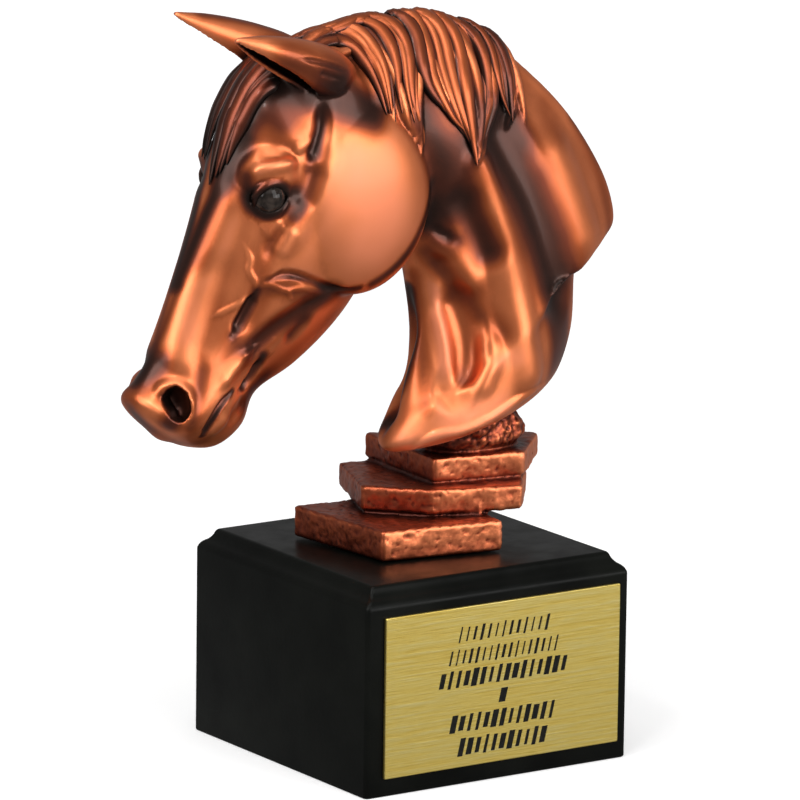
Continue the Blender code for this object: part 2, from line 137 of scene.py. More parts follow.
LOCKS = [
    ([(-45, -3, 133), (-37, -9, 134), (-28, -8, 134), (-21, -9, 130), (-18, -11, 122),
      (-15, -13, 112)], 1.9, True),
    ([(-34, -1, 134), (-25, -5, 136), (-17, -7, 132), (-14, -10, 124), (-12, -12, 113),
      (-10, -13, 108)], 2.3, False),
    ([(-28, 1, 134), (-19, -2, 137), (-12, -5, 134), (-10, -9, 125), (-10, -12, 116),
      (-9, -13, 106)], 2.4, True),
    ([(-23, 1, 135), (-13, -1, 137), (-7, -4, 133), (-6, -8, 125), (-8, -12, 115),
      (-7, -14, 103)], 2.5, False),
    ([(-15, 1, 136), (-8, -1, 137), (-3, -4, 133), (-1, -7, 125), (1, -10, 117), (8, -12, 105)], 2.3, True),
    ([(-8, 1, 137), (0, -2, 136), (5, -5, 129), (8, -9, 117), (9, -12, 107), (10, -13, 101)], 2.5, False),
    ([(-3, 0, 137), (6, -1, 135), (11, -4, 126), (12, -8, 115), (11, -11, 106), (9, -13, 98)], 2.6, True),
    ([(3, 0, 137), (12, -1, 133), (17, -4, 123), (17, -7, 114), (14, -10, 106), (10, -12, 99)], 2.5, True),
    ([(7, 0, 137), (17, -1, 132), (23, -3, 122), (24, -6, 112), (22, -9, 106)], 2.4, False),
    ([(12, 0, 135), (22, -1, 128), (27, -3, 119), (28, -7, 107)], 2.4, True),
]

# Carved forms on the near side, mirrored to the far side: reach, height (a hollow is negative), points

FORMS = {
    "temple dome": (8.0, 1.5, [(-50.5, -9, 116.5), (-47, -12, 111)]),
    "temple foot": (3.6, -0.5, [(-57, -11, 106.5), (-50, -14, 107.5), (-44, -13, 108.5)]),
    "temple groove": (3.0, -2.0, [(-37, -10, 119), (-37.3, -11.5, 112), (-39.5, -12, 106.5),
        (-41.5, -12, 104)]),
    "brow ridge": (2.4, 1.3, [(-58.5, -11.5, 102), (-54.5, -15, 104.5), (-43.5, -12, 104)]),
    "behind eye hollow": (4.5, -1.0, [(-39, -13.5, 104.5), (-42, -14, 98), (-45, -15, 93)]),
    "cheek front fold": (4.6, 0.6, [(-35, -12.5, 114.5), (-36, -14.5, 107), (-39.5, -15.5, 97.5),
        (-44.5, -16, 89), (-52.5, -14.5, 76.5)]),
    "below eye hollow": (3.0, -0.7, [(-48.5, -14.5, 90), (-51.5, -14, 85), (-53.5, -13, 80)]),
    "nasal edge": (6.0, 1.2, [(-60.5, -7, 94), (-65.5, -6, 82), (-71, -6, 67), (-75, -5.5, 57)]),
    "nose side hollow": (8.0, -0.7, [(-64.5, -9, 77), (-68, -9, 69), (-70.5, -9, 61)]),
    "slot above": (5.0, -0.7, [(-53.5, -12.5, 71), (-56.5, -11, 65)]),
    "jaw lower groove": (4.4, -1.2, [(-34, -10.5, 70.5), (-49, -11, 62.5), (-58, -10, 54.5)]),
    "jaw red hollow": (3.4, -0.8, [(-39, -10, 64.5), (-45, -8, 58)]),
    "lip fold": (2.6, 1.2, [(-53.5, -9.5, 57), (-57.5, -10, 56), (-60.5, -10, 54), (-63.5, -10.5, 51),
        (-66.5, -11.5, 49)]),
    "chin hollow": (4.0, -0.9, [(-54.5, -6, 44), (-62, -9, 39.5)]),
    "nostril rim": (2.6, 1.3, [(-82, -6, 47), (-79.5, -6, 49.5), (-76, -8, 50), (-74, -10.5, 46.5),
        (-76, -11.5, 41)]),
    "wing groove": (3.0, -0.5, [(-69, -8, 56), (-71, -9.5, 50), (-74.5, -11.5, 41)]),
    "lower lip": (3.4, 0.8, [(-62.5, -9.5, 42), (-68, -9.5, 37)]),
    "muzzle tip": (5.0, 0.5, [(-84.5, -4, 46.5), (-76.5, -0.5, 36)]),
    "throat crease": (3.0, -1.3, [(-1, -7.5, 84), (2.5, -7, 81), (6, -8.5, 79.5)]),
    "muscle band": (4.8, 1.1, [(0.5, -7, 81), (6, -7.5, 74.5), (10.5, -9, 68)]),
    "muscle band under": (4.0, -0.9, [(0.5, -6, 76.5), (5.5, -6.5, 69.5), (9.5, -9, 63.5)]),
    "column": (4.5, 1.2, [(2.5, -6, 66), (3.5, -7, 58), (4.5, -9, 49.5), (4.5, -12.5, 41), (5, -14.5, 36)]),
    "crescent hollow": (6.5, -3.3, [(7, -8, 62), (8.5, -9.5, 56.5), (9, -10.5, 50.5), (7.5, -11.5, 43.5),
        (4.5, -12.5, 40)]),
    "crescent rim": (4.4, 1.2, [(13.5, -13, 57), (14, -14.5, 50), (11, -16, 43.5), (8.5, -14.5, 38)]),
    "patch hollow": (5.5, -0.4, [(13, -11.5, 60), (17, -13.5, 55)]),
    "bright band": (6.5, 1.7, [(11, -13, 98.5), (18, -14, 76), (26, -17, 43)]),
    "dark band hollow": (10.0, -2.6, [(18.5, -8, 103.5), (29, -9.5, 85.5), (37, -10, 63)]),
    "pit hollow": (6.0, -1.5, [(6.5, -11.5, 89.5), (14.5, -12.5, 75.5)]),
    "crest swell": (7.0, 1.0, [(39.5, -7, 98.5), (47.5, -9, 76)]),
}

# Where the skin is rubbed smooth after that: reach, how many passes, points

SOFTENED = {
    "neck notch": (7.0, 40, [(43, -14, 66), (50, -8, 71), (55, 0, 74)]),
    "crescent": (9.0, 10, [(9, -8, 64), (10, -11, 52), (7, -13, 41)]),
    "lip": (6.0, 6, [(-53, -9, 55), (-60, -10, 51)]),
}

# The hollow down the front edge of the neck, on the middle plane

FRONT_FORMS = {
    "front furrow": (4.0, -3.2, [(-1.5, 0, 66), (-1.5, 0.5, 52), (-2, 2, 42), (-5, 0, 33), (-8, -1, 27)]),
}

# Fine lines cut or raised once the skin is finer: reach, height, points

LINES = {
    "mouth corner dark": (2.4, -1.3, [(-52, -9, 55), (-53.5, -8, 51.5), (-55.5, -7.5, 48.5), (-59, -9, 47)]),
    "mouth line": (1.4, -1.0, [(-61.5, -10.5, 48), (-66, -11.5, 44.5), (-69, -11, 40), (-70, -9, 36.5)]),
    "lip wrinkle": (1.2, 0.4, [(-52.5, -10, 58.5), (-56.5, -10, 57), (-59.5, -10.5, 55.5)]),
    "slot": (2.5, -1.7, [(-55.5, -11.5, 72.5), (-58, -10.5, 67), (-61.5, -10, 61.5)]),
    "ear root line c": (1.1, -0.4, [(-47.5, -18, 131.5), (-39.5, -17, 129.5), (-29.5, -14, 126)]),
    "ear root line b": (1.2, -0.45, [(-44.5, -9, 126), (-38, -10.5, 123.5), (-32, -14, 121.5)]),
    "ear root line a": (1.2, -0.45, [(-41.5, -7.5, 127.5), (-41.5, -17, 127.5), (-32, -15, 124)]),
    "cheek under crease": (1.8, -0.8, [(-53.5, -13.5, 75), (-47, -14, 77), (-35, -10.5, 72),
        (-27.5, -13, 70.5)]),
    "vein front": (1.2, 0.32, [(-58.5, -10, 85), (-56.5, -10.5, 81), (-57, -10, 78),
        (-55.5, -11.5, 74.5), (-56.5, -11, 72.5)]),
    "vein low": (1.2, 0.32, [(-56.5, -11, 72.5), (-59.5, -9.5, 69.5), (-63.5, -9.5, 68),
        (-66.5, -8.5, 66.5)]),
    "vein back": (1.2, 0.3, [(-55.5, -11.5, 73.5), (-52.5, -13.5, 74), (-48, -13.5, 72),
        (-43.5, -13.5, 72.5), (-38.5, -11, 71)]),
    "vein back branch": (1.0, 0.25, [(-47.5, -13.5, 72.5), (-45.5, -13, 69.5)]),
    "crest below eye a": (3.2, 0.45, [(-49.5, -13.5, 91), (-53.5, -11, 86)]),
    "crest below eye b": (3.2, 0.45, [(-47, -16, 89), (-51.5, -15, 81)]),
    "temple notch": (1.8, 0.35, [(-46.5, -13.5, 107), (-43, -13, 108.5), (-40.5, -12, 110.5)]),
    "hem roll": (2.0, 0.6, [(-8, -5.5, 24.5), (-1, -13, 30), (7, -15.5, 30.5), (24, -15.5, 38),
        (34, -12, 38.5)]),
}

# Hollows scooped out of the skin: middle, half sizes, direction of the scoop

SCOOPS = {
    "eye socket": ((-52.0, -11.3, 96.2), (4.4, 4.4, 4.4), (0.45, 0.85, -0.1)),
    "nostril": ((-76.9, -8.2, 45.2), (3.7, 4.6, 5.0), (0.72, 0.66, -0.1)),
    "under hem": ((17.0, -1.5, 27.0), (19.0, 9.0, 7.0), (0.3, 0.0, 0.95)),
}

# Eyelids: thickness, points from the tear duct to the back corner

LIDS = {
    "upper lid": (1.35, [(-56.0, -11.2, 94.1), (-56.3, -12.4, 97.1), (-54.7, -13.6, 99.4),
        (-51.5, -14.0, 100.0), (-48.8, -13.6, 98.3), (-47.3, -13.7, 96.0)]),
    "lower lid": (1.1, [(-56.0, -11.2, 94.1), (-53.8, -11.7, 92.2), (-51.3, -13.2, 92.0),
        (-49.3, -14.1, 93.4), (-47.3, -13.7, 96.0)]),
}

# Slabs of the rockery and the seams between them: z of the underside, z of the top, corners in plan

SLABS = [
    (0.0, 8.0, [(-24.4, 18.0), (-20.6, -17.6), (12.6, -22.8), (16.6, 13.6)]),
    (8.9, 15.3, [(-14.5, 1.5), (-2.2, -11.8), (21.3, -18.7), (32.0, -5.0), (24.0, 22.0), (-4.6, 27.0)]),
    (16.0, 22.3, [(1.6, -7.4), (26.4, -12.4), (42.0, 4.2), (30.0, 24.0), (3.0, 26.6)]),
]
SEAMS = [
    (5.5, 11.5, [(-12.0, 2.0), (-1.0, -10.0), (11.0, -16.0), (13.5, 11.0), (-3.0, 14.0)]),
    (12.8, 18.5, [(4.0, -5.0), (20.0, -10.0), (28.0, -3.0), (22.0, 19.0), (5.0, 22.0)]),
]

# The rock that carries the neck as middle and half sizes, the height it starts at and how softly

ROCK = (18.0, 0.5, 27.0, 15.0, 10.0, 9.0)
ROCK_FROM = 22.8
ROCK_BLEND = 2.0

# Roughness of the stone: scale and height of each wave; scale and depth of the pits, and where they begin

STONE_WAVES = [(6.0, 0.4), (2.4, 0.2), (1.0, 0.1)]
PIT_SCALE, PIT_DEPTH, PIT_FROM = 1.3, 0.55, 0.3
PIT_SHIFT = Vector((40, 0, 0))
SLAB_ROUGH, ROCK_EXTRA = 0.8, 2.6
FLAT_FOOT = 0.8

# Strands of hair: how many, their girth, a seed, and the guides they run between, root to tip

ROPE = [(-38, -4, 131), (-32, -2, 134), (-26, -1, 134.5), (-22, -4, 133), (-19.5, -6, 129.5),
        (-18.5, -9.5, 125.5), (-17.5, -12, 119), (-16.5, -13.5, 112.5)]
MANE = {
    "front": (9, 1.45, 3, [
        [(-37, -7, 129), (-31, -5, 132), (-24.5, -5, 131), (-21.5, -7.5, 127), (-19.5, -10, 122),
         (-18, -13, 114.5)],
        ROPE,
        [(-36, -1, 132), (-27, 1, 134.5), (-22, 0, 136), (-18, -3, 134.5), (-16, -6, 131), (-15, -9, 126),
         (-15.5, -11.5, 120), (-15.5, -13.5, 112)],
        [(-26, 1, 134.5), (-20, 1, 136), (-15, -1, 136.5), (-11.5, -3.5, 135), (-9.5, -6, 131),
         (-10, -9, 126), (-11, -12, 119), (-9.5, -13.5, 111)],
        [(-20.5, 1.5, 135.5), (-14, 0, 136.5), (-9, -3, 135), (-7, -6, 131), (-7, -9, 125), (-8.5, -12, 118),
         (-8, -13.5, 111), (-5.5, -13, 105.5), (-6.3, -13, 102)],
    ]),
    "front rope": (1, 1.9, 4, [ROPE, ROPE]),
    "middle": (13, 1.6, 5, [
        [(-12, 1, 136.5), (-8, 0, 136.5), (-6, -3, 135), (-5, -5.5, 131.5), (-6, -9, 126), (-4.5, -10.5, 120),
         (0, -11.5, 113.5)],
        [(-7, 1.5, 136.5), (-3, -1.5, 136.5), (-2, -4.5, 132.5), (-2, -7.5, 127.5), (-1.5, -9.5, 120),
         (2.5, -11.5, 111), (8, -13, 106)],
        [(-4, 1, 136.5), (0.5, -1.5, 136), (3, -4.5, 131.5), (3.5, -7, 124.5), (4, -10, 116.5),
         (5.5, -11.5, 111), (8.2, -13, 105), (8.5, -13, 100)],
        [(1, 1, 136.5), (5.5, -1, 135), (7.5, -4, 131.5), (8.5, -6.5, 125.5), (7.5, -10, 119), (8, -12, 110),
         (9, -13.5, 98.5)],
        [(5.5, 1, 135.5), (9, -1, 134.5), (12.5, -3, 131.5), (15, -5, 125), (15.5, -7, 118), (13, -10, 109.5),
         (9.2, -13.3, 98.5)],
        [(10, 0.5, 134.5), (13, -2, 132), (16, -5, 127), (17, -7, 120.5), (16, -9, 113), (12, -12, 105.5),
         (9.2, -13.3, 98.5)],
    ]),
    "back": (5, 1.5, 7, [
        [(11.5, 0, 134.5), (16.5, -1.5, 131.5), (18.5, -4.5, 126.5), (18.5, -7.5, 120), (20, -8.5, 114),
         (23.2, -9, 108)],
        [(16, 0, 132.5), (20, -2, 130), (21.8, -4.5, 125.5), (22.8, -6.5, 119), (23, -8, 112.5),
         (23.3, -9, 107.5)],
        [(18, 0, 131.5), (22, -2.5, 128.3), (24.2, -4.5, 123), (24.6, -6.5, 117.5), (24.2, -8, 112.5),
         (23.5, -9, 107.5)],
    ]),
}
FORELOCK = {
    "near": (6, 1.6, 11, [
        [(-46, -8, 124.5), (-52, -7, 121.5), (-55.5, -6, 116), (-58, -5, 109.5), (-60, -5, 103)],
        [(-44, -4, 128), (-51, -4, 124.5), (-55.5, -3.5, 118), (-59, -3.5, 110), (-61.8, -3, 101)],
        [(-43, 0, 130), (-51, 0, 126), (-56, 0, 119), (-59.8, 0, 110), (-62.8, -1, 98)],
    ]),
    "far": (6, 1.4, 12, [
        [(-43, 1, 130), (-51, 2, 126), (-56, 3, 118), (-59, 4, 110), (-60.5, 4.5, 102)],
        [(-43, 5, 128), (-50, 7, 124), (-54.5, 8, 117), (-57.5, 9, 109), (-58.5, 9.5, 104)],
    ]),
}


# Meshes


def put(name, mesh):
    obj = bpy.data.objects.new(name, mesh)
    bpy.context.scene.collection.objects.link(obj)
    return obj


def mesh_of(bm, name):
    bmesh.ops.recalc_face_normals(bm, faces=bm.faces)
    mesh = bpy.data.meshes.new(name)
    bm.to_mesh(mesh)
    bm.free()
    return mesh


def evaluated_mesh(obj):
    graph = bpy.context.evaluated_depsgraph_get()
    return bpy.data.meshes.new_from_object(obj.evaluated_get(graph), depsgraph=graph)


def discard(objects):
    for obj in objects:
        bpy.data.objects.remove(obj, do_unlink=True)


def smooth_run(points, steps):
    """A smooth run through the points, with the given number of steps between neighbours."""
    points = np.array(points, dtype=float)
    padded = np.vstack([2 * points[0] - points[1], points, 2 * points[-1] - points[-2]])
    out = []
    for i in range(len(points) - 1):
        p0, p1, p2, p3 = padded[i:i + 4]
        for k in range(steps):
            t = k / steps
            line = 2 * p1 + (p2 - p0) * t
            bend = (2 * p0 - 5 * p1 + 4 * p2 - p3) * t * t
            twist = (3 * p1 - p0 - 3 * p2 + p3) * t ** 3
            out.append((line + bend + twist) / 2)
    out.append(points[-1])
    return np.array(out)


def settle(run, times):
    """Takes the wobble out of a run; its ends stay where they are."""
    for _ in range(times):
        run[1:-1] = (run[:-2] + 2 * run[1:-1] + run[2:]) / 4
    return run


def soft_run(points, side=1):
    """A smooth run with its wobble taken out, on the near side or mirrored to the far side."""
    return settle(smooth_run(points, 6) * np.array([1, side, 1]), 6)


def skin_rings(name, rings):
    """A closed body over rings of points that all have the same count."""
    bm = bmesh.new()
    made = [[bm.verts.new(place) for place in ring] for ring in rings]
    for a, b in zip(made, made[1:]):
        for k in range(len(a)):
            n = (k + 1) % len(a)
            bm.faces.new((a[k], a[n], b[n], b[k]))
    bm.faces.new(made[0])
    bm.faces.new(made[-1][::-1])
    return put(name, mesh_of(bm, name))


def two_rail_body(name, stations, steps=8, count=28, squareness=2.4):
    """A body whose sections span two rails in the plane of symmetry, with a half width at four levels."""
    levels = [(1 - math.cos(math.pi * k / count)) / 2 for k in range(count + 1)]
    knots = np.array([0.08, 0.36, 0.64, 0.92])
    rings = []
    for row in smooth_run(stations, steps):
        curve = np.polyfit(knots, row[4:8], 3)
        ring = []
        for side, order in ((1, levels), (-1, levels[-2:0:-1])):
            for level in order:
                width = np.polyval(curve, min(0.95, max(0.05, level)))
                rounding = max(0.0, 1 - abs(2 * level - 1) ** squareness) ** (1 / squareness)
                x = row[0] + (row[2] - row[0]) * level
                z = row[1] + (row[3] - row[1]) * level
                ring.append((x, side * width * rounding, z))
        rings.append(ring)
    return skin_rings(name, rings)


def ball(name, middle, half_sizes, detail=5):
    bm = bmesh.new()
    bmesh.ops.create_icosphere(bm, subdivisions=detail, radius=1.0)
    bmesh.ops.scale(bm, verts=bm.verts, vec=half_sizes)
    bmesh.ops.translate(bm, verts=bm.verts, vec=middle)
    return put(name, mesh_of(bm, name))


def ear_stations(side):
    """The ear's stations for one side, smoothed."""
    drop, gape = NEAR_EAR if side == 1 else (0.0, 1.0)
    stations = smooth_run(EAR, 6)
    along = np.linspace(0, 1, len(stations))
    stations[:, 2] -= drop * along ** 1.5
    stations[:, 6] *= gape
    return stations


def ear_body(side):
    """A cupped ear: every section is a thick C that opens forward and down."""
    stations = ear_stations(side)
    rings = []
    for i, (x, y, z, wide, deep, wall, gape) in enumerate(stations):
        along = stations[min(i + 1, len(stations) - 1)][:3] - stations[max(i - 1, 0)][:3]
        along = Vector(along).normalized()
        faces = Vector(EAR_FACES)
        faces = (faces - faces.dot(along) * along).normalized()
        across = along.cross(faces)
        ring = []
        for inner in (0, 1):
            for k in range(EAR_STEPS + 1):
                share = k / EAR_STEPS if not inner else 1 - k / EAR_STEPS
                turn = math.radians(gape + (360 - 2 * gape) * share)
                lip = 1.0 - 0.35 * inner * abs(2 * share - 1) ** 6
                inset = wall * inner * lip
                place = faces * math.cos(turn) * (deep - inset) + across * math.sin(turn) * (wide - inset)
                ring.append((x + place.x, side * (-y + place.y), z + place.z))
        rings.append(ring)
    return skin_rings("ear", rings)


def tapered_cord(name, places, thickness, girths):
    """A round cord through the places; its girth at each is a share of the thickness."""
    curve = bpy.data.curves.new(name, "CURVE")
    curve.dimensions = "3D"
    curve.bevel_depth = thickness
    curve.bevel_resolution = 3
    curve.use_fill_caps = True
    spline = curve.splines.new("POLY")
    spline.points.add(len(places) - 1)
    for point, place, girth in zip(spline.points, places, girths):
        point.co = (*place, 1.0)
        point.radius = girth
    return put(name, curve)


def lock_body(points, thickness, skin, side):
    """A lock of hair: a cord that lies on the skin, full at its root and thin at its tip."""
    run = smooth_run(points, 4)
    places, girths = [], []
    for i, (x, y, z) in enumerate(run):
        near, normal, _, _ = skin.find_nearest(Vector((x, side * y, z)))
        places.append(near + normal * thickness * 0.05)
        share = i / (len(run) - 1)
        girths.append(0.15 + 0.85 * math.sin(math.pi * (0.22 + 0.78 * share) ** 1.1) ** 0.7)
    return tapered_cord("lock", places, thickness, girths)


def lid_body(points, thickness, side):
    """An eyelid: a cord that thins out at both corners of the eye."""
    run = soft_run([(x, side * y, z) for x, y, z in points])
    last = len(run) - 1
    girths = [0.25 + 0.75 * math.sin(math.pi * i / last) ** 0.6 for i in range(last + 1)]
    return tapered_cord("lid", run, thickness, girths)


def slab_body(bottom, top, corners, rounding=0.7):
    """A stone slab: its outline in plan, drawn up to its thickness, with rounded edges."""
    bm = bmesh.new()
    face = bm.faces.new([bm.verts.new((x, y, bottom)) for x, y in corners])
    grown = bmesh.ops.extrude_face_region(bm, geom=[face])
    raised = [v for v in grown["geom"] if isinstance(v, bmesh.types.BMVert)]
    bmesh.ops.translate(bm, verts=raised, vec=(0, 0, top - bottom))
    bmesh.ops.recalc_face_normals(bm, faces=bm.faces)
    bmesh.ops.bevel(bm, geom=list(bm.edges), offset=rounding, segments=3, profile=0.5, affect="EDGES")
    return put("slab", mesh_of(bm, "slab"))


def join_parts(name, parts):
    bm = bmesh.new()
    for part in parts:
        mesh = evaluated_mesh(part)
        bm.from_mesh(mesh)
        bpy.data.meshes.remove(mesh)
    mesh = bpy.data.meshes.new(name)
    bm.to_mesh(mesh)
    bm.free()
    discard(parts)
    return put(name, mesh)


def with_modifiers(obj, *steps):
    """Works the modifiers out into the object's own mesh."""
    for kind, values in steps:
        modifier = obj.modifiers.new(kind.lower(), kind)
        for key, value in values.items():
            setattr(modifier, key, value)
    mesh = evaluated_mesh(obj)
    obj.modifiers.clear()
    obj.data = mesh
    return obj


def fuse(obj, voxel, smooths):
    return with_modifiers(
        obj,
        ("REMESH", {"mode": "VOXEL", "voxel_size": voxel}),
        ("SMOOTH", {"iterations": smooths, "factor": 0.5}),
    )


# Carving. Strokes are worked out within NEAR_ENOUGH of them. Those with a reach under FADES_BELOW thin out
# over FADE_SHARE of their length at both ends.

NEAR_ENOUGH = 30.0
FADES_BELOW = 4.7
FADE_SHARE = 0.25


def skin_tree(mesh):
    return BVHTree.FromPolygons([v.co for v in mesh.vertices], [p.vertices for p in mesh.polygons])


def read(mesh, name):
    values = np.empty(len(mesh.vertices) * 3)
    mesh.vertices.foreach_get(name, values)
    return values.reshape(-1, 3)


def write(mesh, places):
    mesh.vertices.foreach_set("co", np.ascontiguousarray(places).ravel())
    mesh.update()


def distance_to_run(places, run):
    """How far each place is from a run of straight pieces and how far along it, worked out only near it."""
    best, along = np.full(len(places), 1e9), np.zeros(len(places))
    low, high = run.min(0) - NEAR_ENOUGH, run.max(0) + NEAR_ENOUGH
    near = np.where(((places > low) & (places < high)).all(1))[0]
    spots, found, where = places[near], best[near], along[near]
    for i, (a, b) in enumerate(zip(run, run[1:])):
        span = b - a
        share = np.clip(((spots - a) @ span) / max(span @ span, 1e-9), 0, 1)
        reach = np.linalg.norm(spots - a - share[:, None] * span, axis=1)
        closer = reach < found
        found[closer] = reach[closer]
        where[closer] = ((i + share) / (len(run) - 1))[closer]
    best[near], along[near] = found, where
    return best, along


def ease(share):
    share = np.clip(share, 0, 1)
    return share * share * (3 - 2 * share)


def carve(mesh, strokes, sides=(1, -1)):
    """Strokes of the carving tool along the surface's own normals; narrow ones thin out toward both ends."""
    skin = skin_tree(mesh)
    for reach, height, points in strokes.values():
        places, normals = read(mesh, "co"), read(mesh, "normal")
        for side in sides:
            run = np.array([skin.find_nearest(Vector(place))[0] for place in soft_run(points, side)])
            away, along = distance_to_run(places, run)
            fullness = np.ones(len(places))
            if reach < FADES_BELOW:
                fullness = ease(np.minimum(along, 1 - along) / FADE_SHARE)
            share = np.clip(away / (reach * (0.45 + 0.55 * fullness)), 0, 1)
            places = places + normals * ((1 - share ** 2) ** 2 * height * (0.15 + 0.85 * fullness))[:, None]
        write(mesh, places)


def soften(mesh, strokes):
    """Rubs the skin smooth along the strokes."""
    for reach, times, points in strokes.values():
        places = read(mesh, "co")
        moved = relax(places, neighbours(mesh), times)
        for side in (1, -1):
            share = np.clip(distance_to_run(places, soft_run(points, side))[0] / reach, 0, 1)
            places = places + (moved - places) * ((1 - share ** 2) ** 2)[:, None]
        write(mesh, places)


def scoop(mesh, scoops):
    """Pushes the skin inside an ellipsoid through to its far wall, which leaves a hollow with a crisp rim."""
    for middle, half_sizes, inward in scoops.values():
        for side in (1, -1):
            mirror = np.array([1, side, 1])
            places = read(mesh, "co")
            spots = (places - np.array(middle) * mirror) / half_sizes
            inside = (spots ** 2).sum(1) < 1
            path = np.array(inward) * mirror / half_sizes
            a, b, c = path @ path, spots[inside] @ path, (spots[inside] ** 2).sum(1) - 1
            travel = (-b + np.sqrt(b * b - a * c)) / a
            places[inside] += travel[:, None] * np.array(inward) * mirror
            write(mesh, places)


def neighbours(mesh):
    edges = np.empty(len(mesh.edges) * 2, dtype=np.int64)
    mesh.edges.foreach_get("vertices", edges)
    return edges.reshape(-1, 2)


def relax(values, edges, times, weight=0.5):
    """Each value moves toward the mean of its neighbours."""
    count = len(values)
    degree = np.bincount(edges.ravel(), minlength=count).astype(float)
    degree[degree == 0] = 1
    for _ in range(times):
        total = np.zeros_like(values)
        for k in range(values.shape[1]):
            total[:, k] = np.bincount(edges[:, 0], values[edges[:, 1], k], count)
            total[:, k] += np.bincount(edges[:, 1], values[edges[:, 0], k], count)
        values = values + (total / degree[:, None] - values) * weight
    return values


def cavity_of(mesh, times, full):
    """0 on open surface to 1 in a hollow, by how far the relaxed surface lies outside this one."""
    places, normals, edges = read(mesh, "co"), read(mesh, "normal"), neighbours(mesh)
    moved = relax(places, edges, times)
    return np.clip(((moved - places) * normals).sum(1) / full, -1, 1)


def ear_hollow(mesh):
    """1 inside the cups of the ears, 0 elsewhere."""
    places, normals = read(mesh, "co"), read(mesh, "normal")
    inside = np.zeros(len(places))
    for side in (1, -1):
        for x, y, z, wide, *_ in ear_stations(side)[EAR_CUP]:
            inward = np.array([x, -side * y, z]) - places
            reach = np.linalg.norm(inward, axis=1)
            inside = np.maximum(inside, ((inward * normals).sum(1) > 0.35 * reach) & (reach < wide + 0.6))
    return relax(inside[:, None], neighbours(mesh), 3)[:, 0]


def store(mesh, name, values):
    attribute = mesh.attributes.new(name, "FLOAT", "POINT")
    attribute.data.foreach_set("value", np.clip(values, 0, 1).astype(np.float32))


def stroke_cover(mesh, strokes):
    """How much the strokes cover each point of the skin; they stand for wash, wiping, painted shade and
    painted highlights.
    """
    places = read(mesh, "co")
    bare = np.ones(len(places))
    for reach, dark, points in strokes.values():
        for side in (1, -1):
            share = np.clip(distance_to_run(places, soft_run(points, side))[0] / reach, 0, 1)
            bare *= 1 - dark * (1 - share) ** 2 * (1 + 2 * share)
    return 1 - bare
